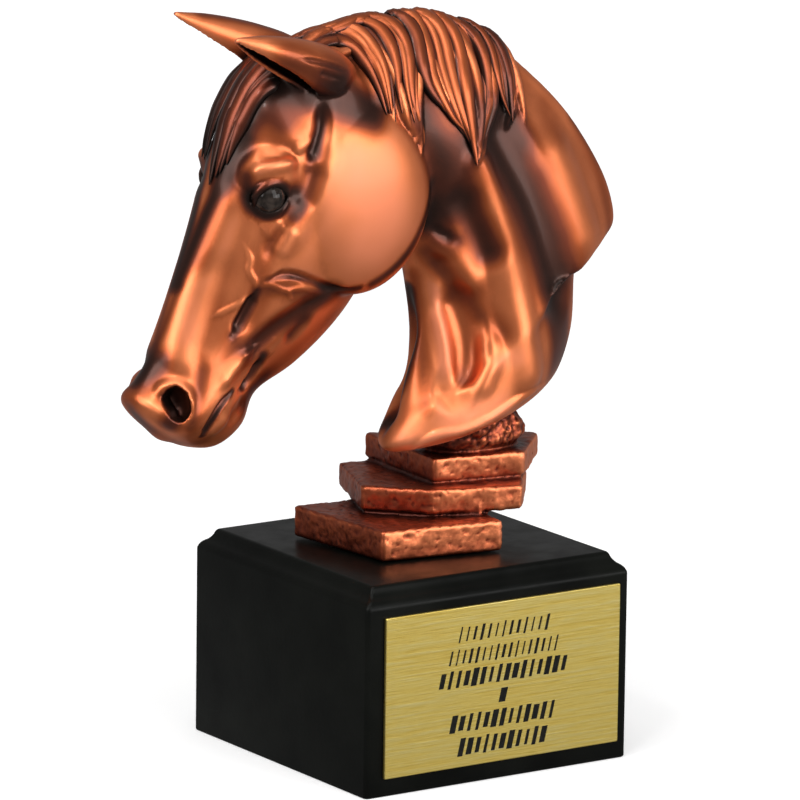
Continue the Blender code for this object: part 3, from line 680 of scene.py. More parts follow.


# Where the brown wash was left on, with a few strokes of painted shade, the same on both sides: reach,
# darkness, points on the near side

WASH_AND_SHADE_STROKES = {
    "near ear back": (9.0, 0.5, [(-30, -16, 124), (-40, -18, 127), (-50, -19, 131)]),
    "near ear low": (5.0, 0.6, [(-30, -17, 119), (-38, -17, 121.5)]),
    "far ear back": (4.0, 0.5, [(-35, 10, 133), (-48, 12, 137.5), (-56, 13, 139)]),
    "temple top": (8.0, 0.5, [(-51, -6.5, 120), (-42.5, -10.5, 120)]),
    "ear rim dark": (3.0, 0.7, [(-47.5, -1, 128), (-46, -7, 125)]),
    "ear root": (9.0, 0.55, [(-41, -8, 127), (-35.5, -15.5, 124)]),
    "temple dome": (9.0, 0.62, [(-51.5, -7.5, 118), (-47.5, -11.5, 114.5)]),
    "cheek top": (8.0, 0.3, [(-33, -14, 114.5), (-23.5, -14.5, 112)]),
    "temple groove": (3.0, 0.95, [(-37, -10, 119), (-37.3, -11.5, 112), (-39.5, -12, 106.5),
        (-42, -12, 103)]),
    "under tufts": (6.5, 0.9, [(-50.5, -5.5, 122), (-42.5, -10.5, 120.5), (-31, -13.5, 117),
        (-22.5, -13.5, 114)]),
    "under tufts b": (5.5, 0.75, [(-33.5, -15, 123), (-20.5, -11.5, 116.5)]),
    "temple front": (5.0, 0.7, [(-50.5, -5.5, 122), (-54, -6.5, 115), (-56.5, -7, 107.5)]),
    # The eye's surround, partly wash and partly painted shadow of the lids
    "eye dark": (5.4, 1.0, [(-55.5, -11, 95.5), (-51, -13, 95.5), (-46.5, -13.5, 96)]),
    "eye back": (3.0, 0.85, [(-46, -13.5, 96), (-44.5, -15, 93.5), (-46.5, -15.5, 91.5)]),
    "eye front": (3.6, 0.7, [(-56, -10, 94), (-58.5, -11, 101.5)]),
    "behind eye": (5.4, 0.4, [(-38, -13.5, 105.5), (-41.5, -14.5, 97.5), (-46, -15.5, 91.5)]),
    "nose front": (3.4, 0.95, [(-56.5, -6.5, 110), (-61, -4.5, 100), (-65, -2.5, 91),
        (-68.5, -1.5, 81.5), (-72, -1, 74)]),
    "nose front low": (2.2, 0.45, [(-71.5, -1.5, 74), (-76, -1, 63), (-80, -0.5, 54.5), (-83.5, -0.5, 50)]),
    "nose front wide": (6.0, 0.36, [(-57.5, -7, 105), (-63, -5, 91.5), (-67.5, -4, 80.5)]),
    "forelock side": (5.5, 0.9, [(-55, -3.5, 117), (-58.5, -5, 107.5), (-61.5, -4.5, 99)]),
    "side mid": (6.0, 0.1, [(-65.5, -8.5, 71), (-68.5, -9, 61)]),
    "below eye mid": (4.6, 0.3, [(-52, -12.5, 86.5), (-54.5, -12.5, 78)]),
    "slot dark": (2.4, 0.7, LINES["slot"][2]),
    "slot around": (6.0, 0.35, [(-54.5, -12.5, 73), (-57.5, -10, 66.5), (-61.5, -10, 60)]),
    "crease cheek": (1.7, 0.8, [(-53, -14, 75.5), (-47, -14, 76), (-35, -10.5, 71.5), (-25.5, -13, 70.5)]),
    "crease cheek soft": (4.6, 0.4, [(-50, -13.5, 73.5), (-35.5, -10.5, 69), (-27.5, -11.5, 69)]),
    "jaw groove": (6.0, 0.72, [(-33.5, -11, 70), (-48, -11, 63), (-56.5, -10, 57)]),
    "jaw red": (3.6, 0.5, [(-39.5, -9.5, 63.5), (-43.5, -8.5, 59.5)]),
    "jaw lower": (5.0, 0.2, [(-29.5, -6, 62), (-38.5, -6, 56), (-47, -5, 50)]),
    "chin": (6.0, 0.6, [(-49, -4.5, 48), (-54.5, -5.5, 42.5)]),
    "mouth corner": (2.6, 0.95, [(-51.5, -9, 55), (-53.5, -8, 51), (-56.5, -7.5, 48)]),
    "mouth line": (1.4, 0.9, [(-61.5, -10.5, 47.5), (-66, -11.5, 43.5), (-69.5, -9, 37)]),
    "lip side": (3.6, 0.2, [(-60, -10.5, 58.5), (-67, -10, 54.5)]),
    "wing groove": (2.6, 0.35, [(-69, -8, 56), (-71, -9.5, 50), (-74.5, -11.5, 40)]),
    "muzzle side": (5.0, 0.25, [(-69, -10.5, 51.5), (-72, -12, 44), (-73.5, -9.5, 37.5)]),
    "muzzle front": (5.0, 0.5, [(-80.5, -2.5, 52.5), (-84.5, -2.5, 47.5), (-79, 2, 38.5)]),
    # Painted shade on the left of the muzzle
    "muzzle left": (5.5, 0.85, [(-81, 0, 52.5), (-78, -3, 55.5)]),
    "nostril": (5.0, 1.0, [(-78, -6.5, 47), (-77, -7, 44), (-78.5, -9, 42)]),
    "under lip": (5.0, 0.3, [(-75, -2.5, 35), (-68.5, -7, 34.5)]),
    "behind cheek": (9.5, 0.9, [(-6, -12, 112), (0, -10.5, 100.5), (2, -8.5, 88)]),
    "behind cheek low": (6.0, 0.75, [(-1, -8.5, 88.5), (1.5, -7, 82), (5.5, -7.5, 78)]),
    "behind cheek mid": (9.0, 0.6, [(4.5, -12, 102.5), (6.5, -12, 92)]),
    "pit red": (7.0, 0.8, [(7.5, -12, 88), (14, -12.5, 76)]),
    "neck band": (15.0, 0.95, [(15, -9, 109), (28, -9.5, 87), (37.5, -10, 63)]),
    "neck band low": (9.0, 0.6, [(37.5, -10, 61.5), (41, -9, 44)]),
    "under third lock": (8.0, 0.8, [(20.5, -7, 110), (26, -8, 102.5)]),
    "far mane foot": (6.0, 0.2, [(36.5, -4.5, 109), (40, -6, 102)]),
    # Painted shade along the back edge of the crest
    "crest edge": (4.0, 0.3, [(47.5, -0.5, 105), (55.5, -2, 91), (58, -3.5, 74)]),
    "throat crease": (3.0, 0.6, [(-2, -7.5, 84), (2.5, -7.5, 82), (6.5, -9, 79)]),
    "muscle under": (4.0, 0.4, [(-1, -5.5, 75.5), (5, -6.5, 68), (11.5, -11, 59)]),
    "muscle grey": (6.0, 0.3, [(0.5, -6.5, 79), (11, -10, 65.5)]),
    "hollow dark": (3.5, 0.45, [(6.5, -7.5, 63), (8.5, -9.5, 56.5), (10, -11, 50.5), (7.5, -11.5, 43)]),
    "patch": (5.5, 0.2, [(10.5, -10.5, 63), (17.5, -14, 54.5)]),
    "patch low": (4.0, 0.15, [(13.5, -13, 57), (13, -15, 47.5)]),
    "column side": (3.6, 0.35, [(-2, -2.5, 69.5), (-0.5, -3.5, 52.5), (-2.5, -9.5, 36)]),
    "front face": (3.4, 0.95, [(-2, 0, 65), (-2, 2, 46.5), (-8, -2.5, 27.5)]),
    "hem low": (4.0, 0.1, [(-8.5, -5, 25), (-2.5, -11.5, 31.5)]),
    "back edge": (4.6, 0.35, [(42.5, -10.5, 65), (43.5, -8, 50), (44, -5.5, 41.5)]),
    "back low": (5.0, 0.4, [(36, -12, 53), (36.5, -11, 41)]),
    "under cheek edge": (2.6, 0.8, [(-3, -10.5, 95.5), (-6.5, -13.5, 85.5), (-14, -14, 76),
        (-22, -13.5, 71)]),
}

# Where it was wiped off to bare copper, and where bare copper is painted on as a highlight: reach, share
# wiped off, points on the near side

WIPED_AND_HIGHLIGHTS = {
    "cheek": (17.0, 1.0, [(-27, -17, 98), (-22, -17, 90), (-24, -17, 84)]),
    "cheek front": (8.0, 0.4, [(-31, -15, 108), (-38, -15, 90), (-42, -15, 82)]),
    # The neck light, column, nose side and hem are painted highlights; the cheeks are wiped copper
    "neck light": (5.0, 0.8, [(14, -15, 48), (20, -16, 48)]),
    "column": (5.0, 0.9, [(2.5, -6, 66), (4, -8, 52), (0, -14, 38)]),
    "nose side": (6.0, 0.8, [(-63, -9, 90), (-68, -9, 76), (-73, -8, 62)]),
    "hem": (7.0, 0.9, [(-6, -8, 27), (4, -14, 33), (16, -16, 36)]),
}


# Materials


def shader_nodes(name, metallic, roughness):
    material = bpy.data.materials.new(name)
    material.use_nodes = True
    nodes, links = material.node_tree.nodes, material.node_tree.links
    shader = nodes["Principled BSDF"]
    shader.inputs["Metallic"].default_value = metallic
    shader.inputs["Roughness"].default_value = roughness
    return material, nodes, links, shader


def greys(*stops):
    """Stops of a ramp from one value each instead of a colour."""
    return [(place, (value,) * 3) for place, value in stops]


def ramp(nodes, links, source, stops, smooth="EASE"):
    """A colour ramp fed by a socket: stops are (place, colour)."""
    made = nodes.new("ShaderNodeValToRGB")
    made.color_ramp.interpolation = smooth
    elements = made.color_ramp.elements
    while len(elements) < len(stops):
        elements.new(0.5)
    for element, (place, colour) in zip(elements, stops):
        element.position = place
        element.color = (*colour, 1.0)
    links.new(source, made.inputs["Fac"])
    return made.outputs["Color"]


def math_node(nodes, links, operation, *values):
    made = nodes.new("ShaderNodeMath")
    made.operation = operation
    for i, value in enumerate(values):
        if isinstance(value, (int, float)):
            made.inputs[i].default_value = value
        else:
            links.new(value, made.inputs[i])
    return made.outputs[0]


def grain(nodes, links, scale, detail=4.0, stretch=(1, 1, 1)):
    """A cloudy pattern on the object's own coordinates."""
    place = nodes.new("ShaderNodeTexCoord")
    turn = nodes.new("ShaderNodeMapping")
    turn.inputs["Scale"].default_value = stretch
    links.new(place.outputs["Object"], turn.inputs["Vector"])
    made = nodes.new("ShaderNodeTexNoise")
    made.inputs["Scale"].default_value = scale
    made.inputs["Detail"].default_value = detail
    links.new(turn.outputs[0], made.inputs["Vector"])
    return made.outputs[0]


def bump(nodes, links, shader, height, strength, distance):
    made = nodes.new("ShaderNodeBump")
    made.inputs["Strength"].default_value = strength
    made.inputs["Distance"].default_value = distance
    links.new(height, made.inputs["Height"])
    links.new(made.outputs[0], shader.inputs["Normal"])


# Colours from bright to dark by the depth of the wash and the painted shade

COPPER_TONES = [
    (0.0, (0.95, 0.31, 0.15)),
    (0.18, (0.88, 0.25, 0.092)),
    (0.38, (0.53, 0.12, 0.037)),
    (0.60, (0.19, 0.043, 0.021)),
    (0.80, (0.07, 0.025, 0.017)),
    (1.0, (0.026, 0.016, 0.013)),
]
STONE_TONES = [
    (0.0, (0.95, 0.32, 0.16)),
    (0.2, (0.86, 0.25, 0.10)),
    (0.45, (0.47, 0.10, 0.038)),
    (0.7, (0.21, 0.036, 0.016)),
    (1.0, (0.07, 0.014, 0.008)),
]

# Colours of the other finishes by the pattern that runs through them

GLAZE_TONES = [(0.35, (0.008, 0.006, 0.005)), (0.75, (0.03, 0.022, 0.018))]
LACQUER_TONES = [(0.3, (0.002, 0.0023, 0.0019)), (0.75, (0.0045, 0.005, 0.004))]
GOLD_TONES = [(0.38, (0.62, 0.44, 0.09)), (0.52, (0.80, 0.61, 0.16)), (0.68, (0.95, 0.79, 0.30))]
FILL_TONES = [(0.3, (0.004, 0.004, 0.004)), (0.8, (0.010, 0.010, 0.009))]

# Copper by kind: colours, strength of the blotches, weight and roughness of the lacquer, then the grain's
# scale, bump strength and depth

COPPER = {
    "smooth": (COPPER_TONES, 0.16, 0.18, 0.16, 900.0, 0.05, 0.0002),
    "rough": (STONE_TONES, 0.3, 0.15, 0.3, 420.0, 0.25, 0.0006),
}
BLOTCH_SCALE = 90.0

# How far a hollow gathers painted shade, and how much of that shade is added to the wash

SHADE_REACH, SHADE_SHARE = 0.005, 0.7


def copper_finish(name, kind):
    """Satin copper plating under a thin lacquer, with a brown wash that gathers in the hollows and painted
    shade where the surface is hidden from light.
    """
    tones, blotches, coat, coat_roughness, scale, strength, depth = COPPER[kind]
    material, nodes, links, shader = shader_nodes(name, 0.9, 0.4)
    # The stored wash, with its painted shade and painted highlights
    wash = nodes.new("ShaderNodeAttribute")
    wash.attribute_name = "patina_and_painted_light"
    # Painted shade from ambient occlusion
    hidden = nodes.new("ShaderNodeAmbientOcclusion")
    hidden.samples = 6
    hidden.inputs["Distance"].default_value = SHADE_REACH
    shade = math_node(nodes, links, "SUBTRACT", 1.0, hidden.outputs["AO"])
    total = math_node(nodes, links, "MULTIPLY_ADD", shade, SHADE_SHARE, wash.outputs["Fac"])
    cloud = grain(nodes, links, BLOTCH_SCALE, 4.0)
    mottled = math_node(nodes, links, "MULTIPLY_ADD", cloud, blotches, -blotches / 2)
    total = math_node(nodes, links, "ADD", total, mottled)
    links.new(ramp(nodes, links, total, tones, "LINEAR"), shader.inputs["Base Color"])
    rough = ramp(nodes, links, total, greys((0.0, 0.56), (0.2, 0.38), (1.0, 0.34)), "LINEAR")
    links.new(rough, shader.inputs["Roughness"])
    shader.inputs["Coat Weight"].default_value = coat
    shader.inputs["Coat Roughness"].default_value = coat_roughness
    bump(nodes, links, shader, grain(nodes, links, scale, 6.0), strength, depth)
    return material


def eye_finish():
    """Black glaze with a faint speckle."""
    material, nodes, links, shader = shader_nodes("black_glaze", 0.0, 0.05)
    spots = grain(nodes, links, 500.0, 2.0)
    links.new(ramp(nodes, links, spots, GLAZE_TONES), shader.inputs["Base Color"])
    shader.inputs["Specular IOR Level"].default_value = 0.22
    return material


def lacquer_finish():
    """Satin black lacquer with a faint ripple and a few dull patches."""
    material, nodes, links, shader = shader_nodes("black_lacquer", 0.0, 0.3)
    cloud = grain(nodes, links, 45.0, 5.0)
    links.new(ramp(nodes, links, cloud, LACQUER_TONES), shader.inputs["Base Color"])
    shader.inputs["Specular IOR Level"].default_value = 0.09
    dull = ramp(nodes, links, grain(nodes, links, 120.0, 6.0), greys((0.3, 0.28), (0.8, 0.4)))
    links.new(dull, shader.inputs["Roughness"])
    bump(nodes, links, shader, grain(nodes, links, 700.0, 3.0), 0.06, 0.0003)
    return material


def brushed_gold():
    """Gold-coloured metal with long brush lines across it."""
    material, nodes, links, shader = shader_nodes("brushed_gold", 1.0, 0.34)
    long_lines = grain(nodes, links, 2200.0, 3.0, (0.02, 1, 1))
    short_lines = grain(nodes, links, 5200.0, 2.0, (0.03, 1, 1))
    mixed = math_node(nodes, links, "MULTIPLY", long_lines, 0.6)
    mixed = math_node(nodes, links, "MULTIPLY_ADD", short_lines, 0.45, mixed)
    links.new(ramp(nodes, links, mixed, GOLD_TONES, "LINEAR"), shader.inputs["Base Color"])
    links.new(ramp(nodes, links, mixed, greys((0.35, 0.50), (0.65, 0.36))), shader.inputs["Roughness"])
    bump(nodes, links, shader, mixed, 0.35, 0.0001)
    return material


def fill_finish():
    """Dull black paint in the strokes."""
    material, nodes, links, shader = shader_nodes("black_fill", 0.0, 0.6)
    speckle = grain(nodes, links, 1500.0, 3.0)
    links.new(ramp(nodes, links, speckle, FILL_TONES), shader.inputs["Base Color"])
    shader.inputs["Specular IOR Level"].default_value = 0.1
    return material


# Pieces


def to_row_frame(mesh):
    """Brings a mesh from the drawing grid to its size and place on the plinth."""
    unit = bpy.context.scene.trophy_sizes.figure_height / GRID_HEIGHT
    mesh.transform(Matrix.Translation((0, 0, SEAT)) @ Matrix.Scale(unit, 4))


def finish_piece(obj, name, material, node, smooth=True):
    """Names and paints a finished piece, hangs it on the root body and hides the part it stands in for."""
    obj.name = name
    obj.data.name = name
    obj.data.materials.clear()
    obj.data.materials.append(material)
    for polygon in obj.data.polygons:
        polygon.use_smooth = smooth
    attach(obj, "root")
    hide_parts(node)
    return obj


def sway(obj):
    """The foot of the neck stands a little to one side of the head's plane."""
    shift, below, over = NECK_SWAY
    places = read(obj.data, "co")
    places[:, 1] -= shift * ease((below - places[:, 2]) / over)
    write(obj.data, places)


# What one step leaves for the next ones: the skin under the hair, the copper and the tree of the strands

CLAY = {}


SKIN_VOXEL = 0.6
COARSE_VOXEL, FINE_VOXEL = 0.8, 0.45

# Share of a lock's thickness that the skin takes up, since strands lie over it

LOCK_SHARE = 0.85

# The wash: on bare skin, gained in hollows, lost on ridges, inside the ears, and at its darkest

FILM, HOLLOW_GAIN, RIDGE_LOSS, EAR_DARK, DARKEST = 0.22, 0.3, 0.2, 0.85, 0.9

# Dark surround of the eye, partly wash and partly painted shadow of the lids: where it ends, measured from
# the eyeball's middle, and how softly

EYE_DARK_TO, EYE_DARK_OVER = 6.8, 1.6


def carved_flesh():
    """Head, neck and ears as one skin, carved, on the drawing grid."""
    neck = two_rail_body("neck", NECK)
    sway(neck)
    parts = [two_rail_body("head", HEAD), neck]
    for side in (1, -1):
        parts.append(ball("cheek", (CHEEK[0], side * CHEEK[1], CHEEK[2]), CHEEK[3:]))
        parts.append(ball("orbit", (ORBIT[0], side * ORBIT[1], ORBIT[2]), ORBIT[3:]))
    flesh = fuse(join_parts("flesh", parts), SKIN_VOXEL, 8)
    carve(flesh.data, FORMS)
    carve(flesh.data, FRONT_FORMS, sides=(1,))
    soften(flesh.data, SOFTENED)
    with_modifiers(flesh, ("SMOOTH", {"iterations": 9, "factor": 0.5}))
    CLAY["under_hair"] = skin_tree(flesh.data)
    scoop(flesh.data, SCOOPS)
    whole = [flesh, ear_body(1), ear_body(-1)]
    for points, thickness, both in LOCKS:
        for side in (1, -1) if both else (1,):
            whole.append(lock_body(points, thickness * LOCK_SHARE, CLAY["under_hair"], side))
    for thickness, points in LIDS.values():
        for side in (1, -1):
            whole.append(lid_body(points, thickness, side))
    flesh = fuse(join_parts("flesh", whole), FINE_VOXEL, 4)
    carve(flesh.data, LINES)
    return flesh


def thin_to(obj, triangles):
    """Thins the mesh to a count of triangles, most where it is flattest."""
    count = sum(len(p.vertices) - 2 for p in obj.data.polygons)
    if count > triangles:
        with_modifiers(obj, ("DECIMATE", {"ratio": triangles / count}))
    return obj


def gathered(hollow, gain, loss):
    """What the hollows add to the wash and the ridges lose of it."""
    return np.clip(hollow, 0, 1) * gain - np.clip(-hollow, 0, 1) * loss


class TROPHY_OT_bust(Operator):
    """Head, ears and neck as one carved casting, with its wash, painted shade and painted highlights"""

    bl_idname = "trophy.bust"
    bl_label = "Carve the bust"

    def execute(self, context):
        flesh = thin_to(carved_flesh(), context.scene.trophy_sizes.bust_triangles)
        mesh = flesh.data
        # The film thins where copper is wiped bare and where highlights are painted on
        film = FILM * (1 - stroke_cover(mesh, WIPED_AND_HIGHLIGHTS)) + gathered(cavity_of(mesh, 10, 0.35), HOLLOW_GAIN, RIDGE_LOSS)
        # The wash, with the strokes of painted shade among it
        wash = np.maximum(stroke_cover(mesh, WASH_AND_SHADE_STROKES), EAR_DARK * ear_hollow(mesh))
        # Darkens round each eye, partly as painted shadow of the lids
        for side in (1, -1):
            from_eye = np.linalg.norm(read(mesh, "co") - (EYE[0], side * EYE[1], EYE[2]), axis=1)
            wash = np.maximum(wash, np.clip((EYE_DARK_TO - from_eye) / EYE_DARK_OVER, 0, 1))
        store(mesh, "patina_and_painted_light", film + (DARKEST - film) * wash)
        to_row_frame(mesh)
        CLAY["copper"] = copper_finish("aged_copper", "smooth")
        finish_piece(flesh, "bust", CLAY["copper"], "horse_bust")
        return {"FINISHED"}


def new_tree(name, sockets):
    """An empty geometry tree with named inputs: the tree, its nodes and links, its input and its output."""
    tree = bpy.data.node_groups.new(name, "GeometryNodeTree")
    face, nodes = tree.interface, tree.nodes
    face.new_socket("Geometry", in_out="INPUT", socket_type="NodeSocketGeometry")
    for label, (kind, value) in sockets.items():
        face.new_socket(label, in_out="INPUT", socket_type=kind).default_value = value
    face.new_socket("Material", in_out="INPUT", socket_type="NodeSocketMaterial")
    face.new_socket("Geometry", in_out="OUTPUT", socket_type="NodeSocketGeometry")
    return tree, nodes, tree.links, nodes.new("NodeGroupInput"), nodes.new("NodeGroupOutput")


def own_value(nodes, name, kind):
    """The value that a mesh carries under a name."""
    made = nodes.new("GeometryNodeInputNamedAttribute")
    made.data_type = kind
    made.inputs["Name"].default_value = name
    return made.outputs["Attribute"]


def realized(nodes, links, source):
    real = nodes.new("GeometryNodeRealizeInstances")
    links.new(source, real.inputs[0])
    return real.outputs[0]


def paint_and_end(nodes, links, source, start, end):
    painted = nodes.new("GeometryNodeSetMaterial")
    links.new(source, painted.inputs["Geometry"])
    links.new(start.outputs["Material"], painted.inputs["Material"])
    links.new(painted.outputs[0], end.inputs[0])


# Section of a strand: sides of its outline, ridges round it and their depth, width and thickness over girth

STRAND_FORM = {
    "Sides": ("NodeSocketInt", 16),
    "Ridges": ("NodeSocketFloat", 7.0),
    "Ridge Depth": ("NodeSocketFloat", 0.06),
    "Width": ("NodeSocketFloat", 1.25),
    "Thickness": ("NodeSocketFloat", 0.8),
}


def strand_tree():
    """Geometry nodes: tapered, ridged cords along the edges of a wire mesh."""
    tree, nodes, links, start, end = new_tree("hair_strands", STRAND_FORM)
    wires = nodes.new("GeometryNodeMeshToCurve")
    links.new(start.outputs["Geometry"], wires.inputs["Mesh"])
    facing = nodes.new("GeometryNodeSetCurveNormal")
    facing.mode = "FREE"
    links.new(wires.outputs[0], facing.inputs["Curve"])
    links.new(own_value(nodes, "outward", "FLOAT_VECTOR"), facing.inputs["Normal"])
    circle = nodes.new("GeometryNodeCurvePrimitiveCircle")
    circle.inputs["Radius"].default_value = 1.0
    links.new(start.outputs["Sides"], circle.inputs["Resolution"])
    place = nodes.new("GeometryNodeInputPosition")
    split = nodes.new("ShaderNodeSeparateXYZ")
    links.new(place.outputs[0], split.inputs[0])
    turn = math_node(nodes, links, "ARCTAN2", split.outputs["Y"], split.outputs["X"])
    turn = math_node(nodes, links, "MULTIPLY", turn, start.outputs["Ridges"])
    wave = math_node(nodes, links, "COSINE", turn)
    swell = math_node(nodes, links, "MULTIPLY_ADD", wave, start.outputs["Ridge Depth"], 1.0)
    joined = nodes.new("ShaderNodeCombineXYZ")
    for axis, share in (("X", "Thickness"), ("Y", "Width")):
        reach = math_node(nodes, links, "MULTIPLY", split.outputs[axis], start.outputs[share])
        links.new(math_node(nodes, links, "MULTIPLY", reach, swell), joined.inputs[axis])
    shaped = nodes.new("GeometryNodeSetPosition")
    links.new(circle.outputs["Curve"], shaped.inputs["Geometry"])
    links.new(joined.outputs[0], shaped.inputs["Position"])
    swept = nodes.new("GeometryNodeCurveToMesh")
    swept.inputs["Fill Caps"].default_value = True
    links.new(facing.outputs[0], swept.inputs["Curve"])
    links.new(own_value(nodes, "girth", "FLOAT"), swept.inputs["Scale"])
    links.new(shaped.outputs[0], swept.inputs["Profile Curve"])
    paint_and_end(nodes, links, realized(nodes, links, swept.outputs[0]), start, end)
    return tree


def through_nodes(obj, tree, values):
    """Runs the tree on the object and leaves the plain mesh it makes."""
    modifier = obj.modifiers.new("made", "NODES")
    modifier.node_group = tree
    sockets = {s.name: s.identifier for s in tree.interface.items_tree if s.in_out == "INPUT"}
    for name, value in values.items():
        modifier[sockets[name]] = value
    mesh = evaluated_mesh(obj)
    obj.modifiers.clear()
    obj.data = mesh
    return obj


# Points along a strand, and how strands differ: shift across the clump, points left off the root and the
# tip, height and girth as shares of the clump's girth, and tone. STRAND_CLEAR is the least height over the
# skin.

STRAND_STEPS = 48
STRAND_SHIFT = 0.2
ROOT_CUT, TIP_CUTS = 2, (0, 0, 1, 2, 4)
STRAND_LIFT = (-0.55, 0.15)
STRAND_GIRTH = (0.75, 1.25)
STRAND_TONE = 0.35
STRAND_CLEAR = 0.6


def even_run(points, count):
    """The smooth run through the points at evenly spaced places."""
    run = smooth_run(points, 12)
    lengths = np.r_[0, np.cumsum(np.linalg.norm(np.diff(run, axis=0), axis=1))]
    even = np.linspace(0, lengths[-1], count)
    return np.stack([np.interp(even, lengths, run[:, k]) for k in range(3)], axis=1)


def strand_wires(name, clumps, side=1):
    """A wire mesh: each strand is a row of points with a girth, a tone and an outward direction."""
    points, edges, girths, tones, outwards = [], [], [], [], []
    skin = CLAY["under_hair"]
    for count, girth, seed, guides in clumps.values():
        pick = random.Random(seed)
        runs = np.array([even_run(guide, STRAND_STEPS) for guide in guides])
        across = smooth_run(runs.reshape(len(guides), -1), 16).reshape(-1, STRAND_STEPS, 3)
        for k in range(count):
            share = (k + 0.5 + pick.uniform(-STRAND_SHIFT, STRAND_SHIFT)) / count
            run = across[int(round(share * (len(across) - 1)))] * (1, side, 1)
            start_at, stop_at = pick.randint(0, ROOT_CUT), STRAND_STEPS - pick.choice(TIP_CUTS)
            lift = pick.uniform(*STRAND_LIFT) * girth
            own_girth = girth * pick.uniform(*STRAND_GIRTH)
            tone = pick.uniform(0.0, STRAND_TONE) ** 1.5 * 1.6
            rows = []
            for i in range(start_at, stop_at):
                spot = Vector(run[i])
                near, normal, _, _ = skin.find_nearest(spot)
                rows.append(near + normal * (max((spot - near).dot(normal), STRAND_CLEAR) + lift))
                outwards.append(tuple(normal))
                along = (i - start_at) / (stop_at - start_at - 1)
                full = min(1.0, 0.35 + along / 0.12) * min(1.0, (1 - along) / 0.42) ** 0.8
                girths.append(own_girth * (0.07 + 0.93 * full))
                tones.append(tone + 0.25 * max(0.0, along - 0.6))
            rows = settle(np.array(rows), 5)
            edges += [(len(points) + i, len(points) + i + 1) for i in range(len(rows) - 1)]
            points += [tuple(place) for place in rows]
    mesh = bpy.data.meshes.new(name)
    mesh.from_pydata(points, edges, [])
    store(mesh, "tone", tones)
    mesh.attributes.new("girth", "FLOAT", "POINT").data.foreach_set("value", girths)
    out = mesh.attributes.new("outward", "FLOAT_VECTOR", "POINT")
    out.data.foreach_set("vector", np.array(outwards, dtype=np.float32).ravel())
    return put(name, mesh)


# The wash on a strand's back in the mane and the forelock, and what its sides add

MANE_FILM, FORELOCK_FILM, SIDE_DARK = 0.30, 0.58, 0.75


def strands(name, clumps, film, side=1):
    """Strands in copper, bright along their backs and brown down their sides."""
    wires = strand_wires(name, clumps, side)
    form = {label: value for label, (_, value) in STRAND_FORM.items()}
    through_nodes(wires, CLAY["strands"], {**form, "Material": CLAY["copper"]})
    mesh = wires.data
    places, normals = read(mesh, "co"), read(mesh, "normal")
    backs = np.array([CLAY["under_hair"].find_nearest(Vector(place))[1] for place in places])
    turned = np.clip(1 - (normals * backs).sum(1), 0, 1)
    tone = np.empty(len(places), dtype=np.float32)
    mesh.attributes["tone"].data.foreach_get("value", tone)
    store(mesh, "patina_and_painted_light", film + tone + turned ** 1.2 * SIDE_DARK)
    to_row_frame(mesh)
    return finish_piece(wires, name, CLAY["copper"], "horse_bust")


class TROPHY_OT_mane(Operator):
    """Strands of the mane, in clumps that run together at their tips"""

    bl_idname = "trophy.mane"
    bl_label = "Comb the mane"

    def execute(self, context):
        CLAY["strands"] = strand_tree()
        strands("mane_near", MANE, MANE_FILM)
        strands("mane_far", MANE, MANE_FILM, side=-1)
        return {"FINISHED"}


class TROPHY_OT_forelock(Operator):
    """Dark strands that fall from between the ears down the forehead"""

    bl_idname = "trophy.forelock"
    bl_label = "Lay the forelock"

    def execute(self, context):
        strands("forelock", FORELOCK, FORELOCK_FILM)
        return {"FINISHED"}


class TROPHY_OT_eyes(Operator):
    """Black glazed eyeballs"""

    bl_idname = "trophy.eyes"
    bl_label = "Set the eyes"

    def execute(self, context):
        x, y, z, radius = EYE
        eyes = join_parts("eyes", [ball("eye", (x, side * y, z), (radius,) * 3, 4) for side in (1, -1)])
        to_row_frame(eyes.data)
        finish_piece(eyes, "eyes", eye_finish(), "horse_bust")
        return {"FINISHED"}


COARSE_STONE, FINE_STONE = 0.9, 0.5
# Stone's film, painted shade on its tops and on its sides that face left, and the rock's extra darkness
STONE_FILM, STONE_TOP_SHADE, STONE_LEFT_SHADE, STONE_ROCK = 0.18, 0.36, 0.34, 0.35
STONE_GAIN, STONE_LOSS = 0.6, 0.3


def stone_rise(place):
    """How far the rough stone stands out at a place."""
    spot = Vector(place)
    waves = sum(noise.noise(spot / scale) * height for scale, height in STONE_WAVES)
    return waves - max(0.0, noise.noise(spot / PIT_SCALE + PIT_SHIFT) - PIT_FROM) * PIT_DEPTH


class TROPHY_OT_rockery(Operator):
    """Stacked rough slabs and the rock that carries the neck"""

    bl_idname = "trophy.rockery"
    bl_label = "Stack the slabs"

    def execute(self, context):
        parts = [slab_body(*row) for row in SLABS + SEAMS]
        parts.append(ball("rock", ROCK[:3], ROCK[3:]))
        stone = fuse(join_parts("rockery", parts), FINE_STONE, 1)
        mesh = stone.data
        places, normals = read(mesh, "co"), read(mesh, "normal")
        rise = np.array([stone_rise(place) for place in places])
        flat_foot = np.clip(places[:, 2] / FLAT_FOOT, 0, 1)
        rock = np.clip((places[:, 2] - ROCK_FROM) / ROCK_BLEND, 0, 1)
        write(mesh, places + normals * (rise * (SLAB_ROUGH + ROCK_EXTRA * rock) * flat_foot)[:, None])
        # Tops and left-facing sides get painted shade
        upward = np.clip((normals[:, 2] - 0.5) / 0.3, 0, 1)
        left = np.clip(-normals[:, 0] / 0.7, 0, 1)
        film = STONE_FILM + STONE_TOP_SHADE * upward + STONE_LEFT_SHADE * left + STONE_ROCK * rock
        store(mesh, "patina_and_painted_light", film + gathered(cavity_of(mesh, 4, 0.2), STONE_GAIN, STONE_LOSS))
        to_row_frame(mesh)
        finish_piece(stone, "rockery", copper_finish("rough_copper", "rough"), "horse_bust")
        return {"FINISHED"}


